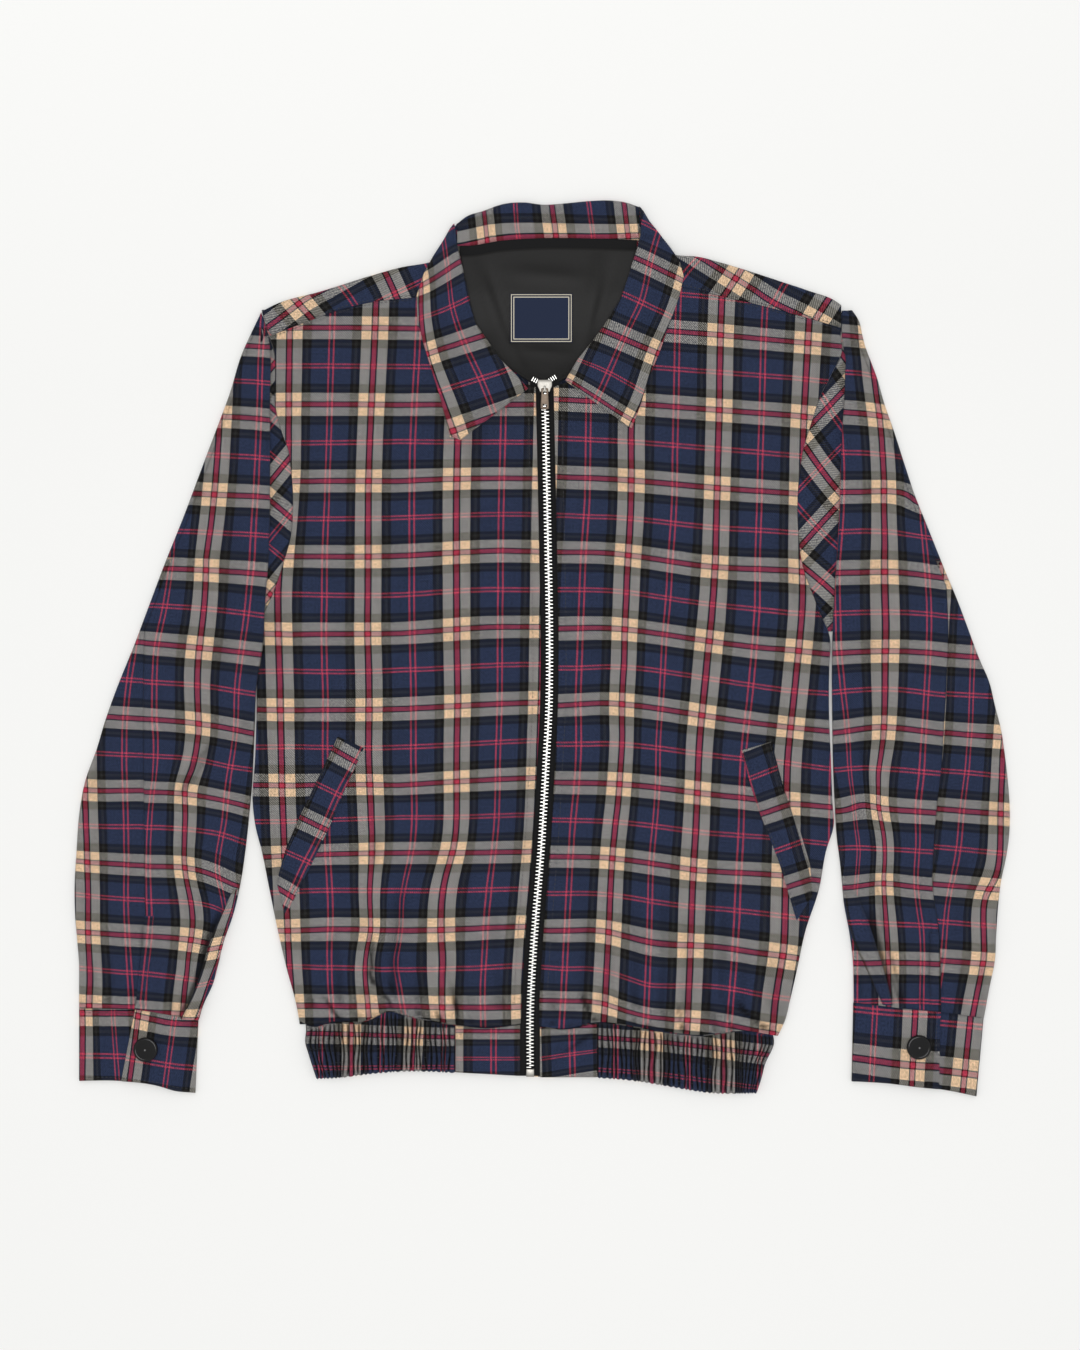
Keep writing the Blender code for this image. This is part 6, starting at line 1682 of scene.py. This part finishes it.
def slider():
    """The slider: a crowned plate, narrower at its foot, with the arched bridge that holds the pull tab."""
    thing = start_block("hard_zip_slider", SHADED_ZIP_METAL, (11.8, 9.8, 1.4), (SLIDER_X, PULL_PIN_Y + 2.4, 6.2))
    bpy.ops.mesh.subdivide(number_cuts=3)
    pick(lambda spot, normal: spot[1] < PULL_PIN_Y - 1, "VERT")
    widen(0.66, 1.0, (SLIDER_X, PULL_PIN_Y, 0))
    pick(lambda spot, normal: PULL_PIN_Y - 1 < spot[1] < PULL_PIN_Y + 1.5, "VERT")
    widen(0.8, 1.0, (SLIDER_X, PULL_PIN_Y, 0))
    end_solid(thing, bevel=0.5, segments=3)
    bridge = start_block("bridge", SHADED_ZIP_METAL, (1.6, 1.0, 2.3), (SLIDER_X, PULL_PIN_Y + 1.65, 8.05))
    pick(lambda spot, normal: normal[2] > 0.9)
    extrude(z=1.0)
    pick(lambda spot, normal: normal[1] < -0.9 and spot[2] > 9.2)
    extrude(y=-2.3)
    extrude(y=-1.0)
    pick(lambda spot, normal: normal[2] < -0.9 and spot[1] < PULL_PIN_Y - 1.2)
    extrude(z=-2.3)
    end_solid(bridge, bevel=0.3)
    thing.select_set(True)
    bpy.context.view_layer.objects.active = thing
    bpy.ops.object.join()
    return thing


def pull_tab():
    """The pull tab: a flat bar with a loop for the bridge at its head and a small slot at its foot."""
    thing = start_solid("hard_zip_pull", PULL_METAL, "plane", size=1.0)
    head, foot, half = 0.55, -16.6, 3.4
    bpy.ops.transform.resize(value=(2 * half * MM, (head - foot) * MM, 1.0), center_override=(0, 0, 0))
    slide(y=0.5 * (head + foot))
    for y in (-14.8, -12.4, -4.2, -0.55):
        bisect(y=y)
    for x in (-1.5, 1.5):
        bisect(x=x)
    pick(lambda spot, normal: abs(spot[0]) < 1.5 and (-14.8 < spot[1] < -12.4 or -4.2 < spot[1] < -0.55))
    bpy.ops.mesh.delete(type="FACE")
    pick(lambda spot, normal: spot[1] > -5, "VERT")
    widen(0.86, 1.0)
    pick(lambda spot, normal: abs(spot[0]) > 2.5 and (spot[1] < -16 or spot[1] > 0.4), "VERT")
    bpy.ops.mesh.bevel(offset=1.6 * MM, segments=4, affect="VERTICES")
    bpy.ops.object.mode_set(mode="OBJECT")
    sheet = thing.modifiers.new("sheet", "SOLIDIFY")
    sheet.thickness = 1.1 * MM
    sheet.offset = 0.0
    bpy.ops.object.modifier_apply(modifier=sheet.name)
    thing.rotation_euler = (PULL_SLOPE, 0, 0)
    thing.location = (SLIDER_X * MM, PULL_PIN_Y * MM, PULL_PIN_Z * MM)
    return end_solid(thing, bevel=0.22)


def stitch_model():
    """One stitch: a short rounded length of thread."""
    thing = start_solid("stitch", THREAD, "uv_sphere", segments=6, ring_count=4, radius=0.5)
    size = (STITCH_LENGTH * MM, STITCH_WIDTH * MM, STITCH_WIDTH * MM)
    bpy.ops.transform.rotate(value=math.pi / 2, orient_axis="Y", center_override=(0, 0, 0))
    bpy.ops.transform.resize(value=size, center_override=(0, 0, 0))
    bpy.ops.object.mode_set(mode="OBJECT")
    return thing


def stitches(piece, lines, model):
    """Rows of stitches laid on the upper face of a piece, along lines seen from above in millimetres."""
    tree = BVHTree.FromObject(piece, bpy.context.evaluated_depsgraph_get())
    frames = []
    for line in lines:
        line = np.array(line, float)
        steps = np.linalg.norm(np.diff(line, axis=0), axis=1)
        along = np.concatenate([[0.0], np.cumsum(steps)])
        for start in np.arange(0.6, along[-1] - STITCH_LENGTH, STITCH_PITCH):
            ends = [[np.interp(start + offset, along, line[:, k]) for k in (0, 1)] for offset in (0, STITCH_LENGTH)]
            hits = [tree.ray_cast((x * MM, y * MM, 0.1), (0, 0, -1))[0] for x, y in ends]
            if None in hits:
                continue
            low, high = (np.array([*end, hit[2] / MM]) for end, hit in zip(ends, hits))
            if abs(high[2] - low[2]) > 1.2:
                continue
            way = (high - low) / np.linalg.norm(high - low)
            side = np.cross(UP, way)
            side /= np.linalg.norm(side)
            middle = (0.5 * (low + high) + 0.12 * UP) * MM
            frames.append(np.column_stack([way, side, np.cross(way, side), middle]))
    return copies(piece.name.replace("soft_", "stitches_"), model, frames, THREAD)


def show(piece, body, nodes):
    """Attaches a piece to the body it rides and hides the nodes it stands for."""
    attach(piece, body)
    if nodes:
        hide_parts(*nodes)


def add_light(name, size, power, place):
    """A soft rectangular light that looks at the middle of the jacket."""
    lamp = bpy.data.lights.new(name, "AREA")
    lamp.shape = "RECTANGLE"
    lamp.size, lamp.size_y = size
    lamp.energy = power
    thing = bpy.data.objects.new(name, lamp)
    thing.location = place
    bpy.context.scene.collection.objects.link(thing)
    aim = -np.array(place)
    pitch = math.atan2(math.hypot(aim[0], aim[1]), -aim[2])
    thing.rotation_euler = (pitch, 0.0, math.atan2(aim[0], -aim[1]) if pitch > 1e-6 else 0.0)


def studio():
    """A pale floor under large soft lights, with the light from everywhere that a white room gives."""
    scene = bpy.context.scene
    scene.view_settings.view_transform = "Standard"
    scene.world = bpy.data.worlds.new("room")
    scene.world.use_nodes = True
    feed(scene.world.node_tree.nodes["Background"], {"Color": (1.0, 1.0, 1.0, 1.0), "Strength": ROOM_LIGHT})
    add_light("overhead", (1.3, 1.3), LAMP_POWER, (0.0, 0.0, 3.2))
    add_light("window", (1.8, 1.2), KEY_POWER, (-0.4, 3.6, 3.5))
    bpy.ops.mesh.primitive_plane_add(size=6.0, location=(0, 0, 0))
    floor = bpy.context.active_object
    floor.name = "floor"
    floor.data.materials.append(BOARD)


def offset_line(points, distance):
    """A line moved to its left by a distance."""
    points = np.array([(point.x, point.y) for point in points], float)
    runs = np.gradient(points, axis=0)
    runs /= np.linalg.norm(runs, axis=1, keepdims=True)
    return points + np.stack([-runs[:, 1], runs[:, 0]], axis=1) * distance


def sewing(pieces):
    """All the rows of stitches that show, by the piece that they lie on."""
    model = stitch_model()
    for hand in ("R", "L"):
        inwards = toward_zip(hand)
        y = np.linspace(205, -286, 200)
        edge = np.stack([follow(ZIP_LINE, "y", "x", y) - inwards * (ZIP_HALF_OPENING + 6), y], axis=1)
        outer = [Point(row.from_x, row.from_y) for row in WELT[hand]]
        inner = [Point(row.to_x, row.to_y) for row in WELT[hand]]
        first, second = BAND_TAB_ENDS[hand]
        if hand == "R":
            across = np.linspace(BAND_SIDES[0].right + 4, first - 3, 60)
        else:
            across = np.linspace(second + 3, BAND_SIDES[0].left - 5, 60)
        top_y, low_y = (follow(line, "x", "y", across) for line in (WAIST, HEM))
        overlap = [x + 3.2 * inwards for x in CUFF_OVERLAP_END[hand]]
        lines = {
            "front_": [edge, offset_line(YOKE_SEAM[hand], -1.8)],
            "yoke_": [offset_line(YOKE_SEAM[hand], 1.6)],
            "welt_": [offset_line(outer, 1.6 * inwards), offset_line(inner, -1.6 * inwards)],
            "waistband_tab_": [[(first + 2, -307.5), (second - 2, -307.0)]],
            "cuff_": [
                offset_line(CUFF_TOP[hand], -3.0), offset_line(CUFF_BOTTOM[hand], 3.0),
                [(overlap[0], -294), (overlap[1], -348)],
            ],
            "waistband_elastic_": [
                np.stack([across, top_y * (1 - share) + low_y * share], axis=1) for share in ELASTIC_ROWS
            ],
        }
        for node, rows_of in lines.items():
            show(stitches(pieces[node + hand], rows_of, model), "jacket", [])
    bpy.data.objects.remove(model)


TWILL = checked_twill()
SATIN = plain_cloth("lining_satin", "100F0E", 0.9, 0.00005, 0.4, 0.2)
TAPE_CLOTH = plain_cloth("ribbed_tape", "101011", 1.1, 0.0001, 0.85, 0.25)
DAMASK = label_damask()
ZIP_METAL = metal("polished_zip_metal", "DAD9D5", 0.3)
# The same zip metal painted darker: painted shade for the slider and the retainer box.
SHADED_ZIP_METAL = metal("zip_metal_painted_darker", "96938D", 0.36)
PULL_METAL = metal("dark_bronze", "564C43", 0.36)
# Black moulded plastic, polished, so it mirrors the soft light over the table.
PLASTIC = start_material("button_plastic", Base_Color=linear("060607"), Roughness=0.12, Specular_IOR_Level=0.35)[0]
# Spun polyester sewing thread, slightly lustrous.
THREAD = start_material("sewing_thread", Base_Color=linear("15161C"), Roughness=0.6, Sheen_Weight=0.2)[0]
# Matt white paper board under the jacket, just short of pure white.
BOARD = start_material("paper_floor", Base_Color=linear("FAFAF8"), Roughness=0.95, Specular_IOR_Level=0.1)[0]

studio()
made = {}
for hand in ("R", "L"):
    for make in (front, yoke, sleeve_front, sleeve_back, sleeve_turn, placket, cuff, welt, band_tab, elastic, leaf):
        piece = make(hand)
        node = piece.name.replace("soft_", "")
        made[node] = piece
        show(piece, "jacket", [node])
    show(pleat(hand), "jacket", [])
    show(zip_tape(hand), "jacket", ["zip_tape_" + hand])
    show(button(hand), "jacket", ["button_" + hand])
show(back(), "jacket", ["back"])
show(band_back(), "jacket", ["waistband_back"])
show(collar_back(), "jacket", ["collar_back", "collar_stand"])
show(neck_tape(), "jacket", ["neck_tape"])
show(lining(), "jacket", ["lining_back"])
show(label(), "jacket", ["label"])
show(zip_chain(), "jacket", ["zip_chain"])
show(zip_box(), "jacket", ["zip_box"])
show(slider(), "jacket", ["zip_slider"])
show(pull_tab(), "pull_tab", ["zip_pull"])
sewing(made)
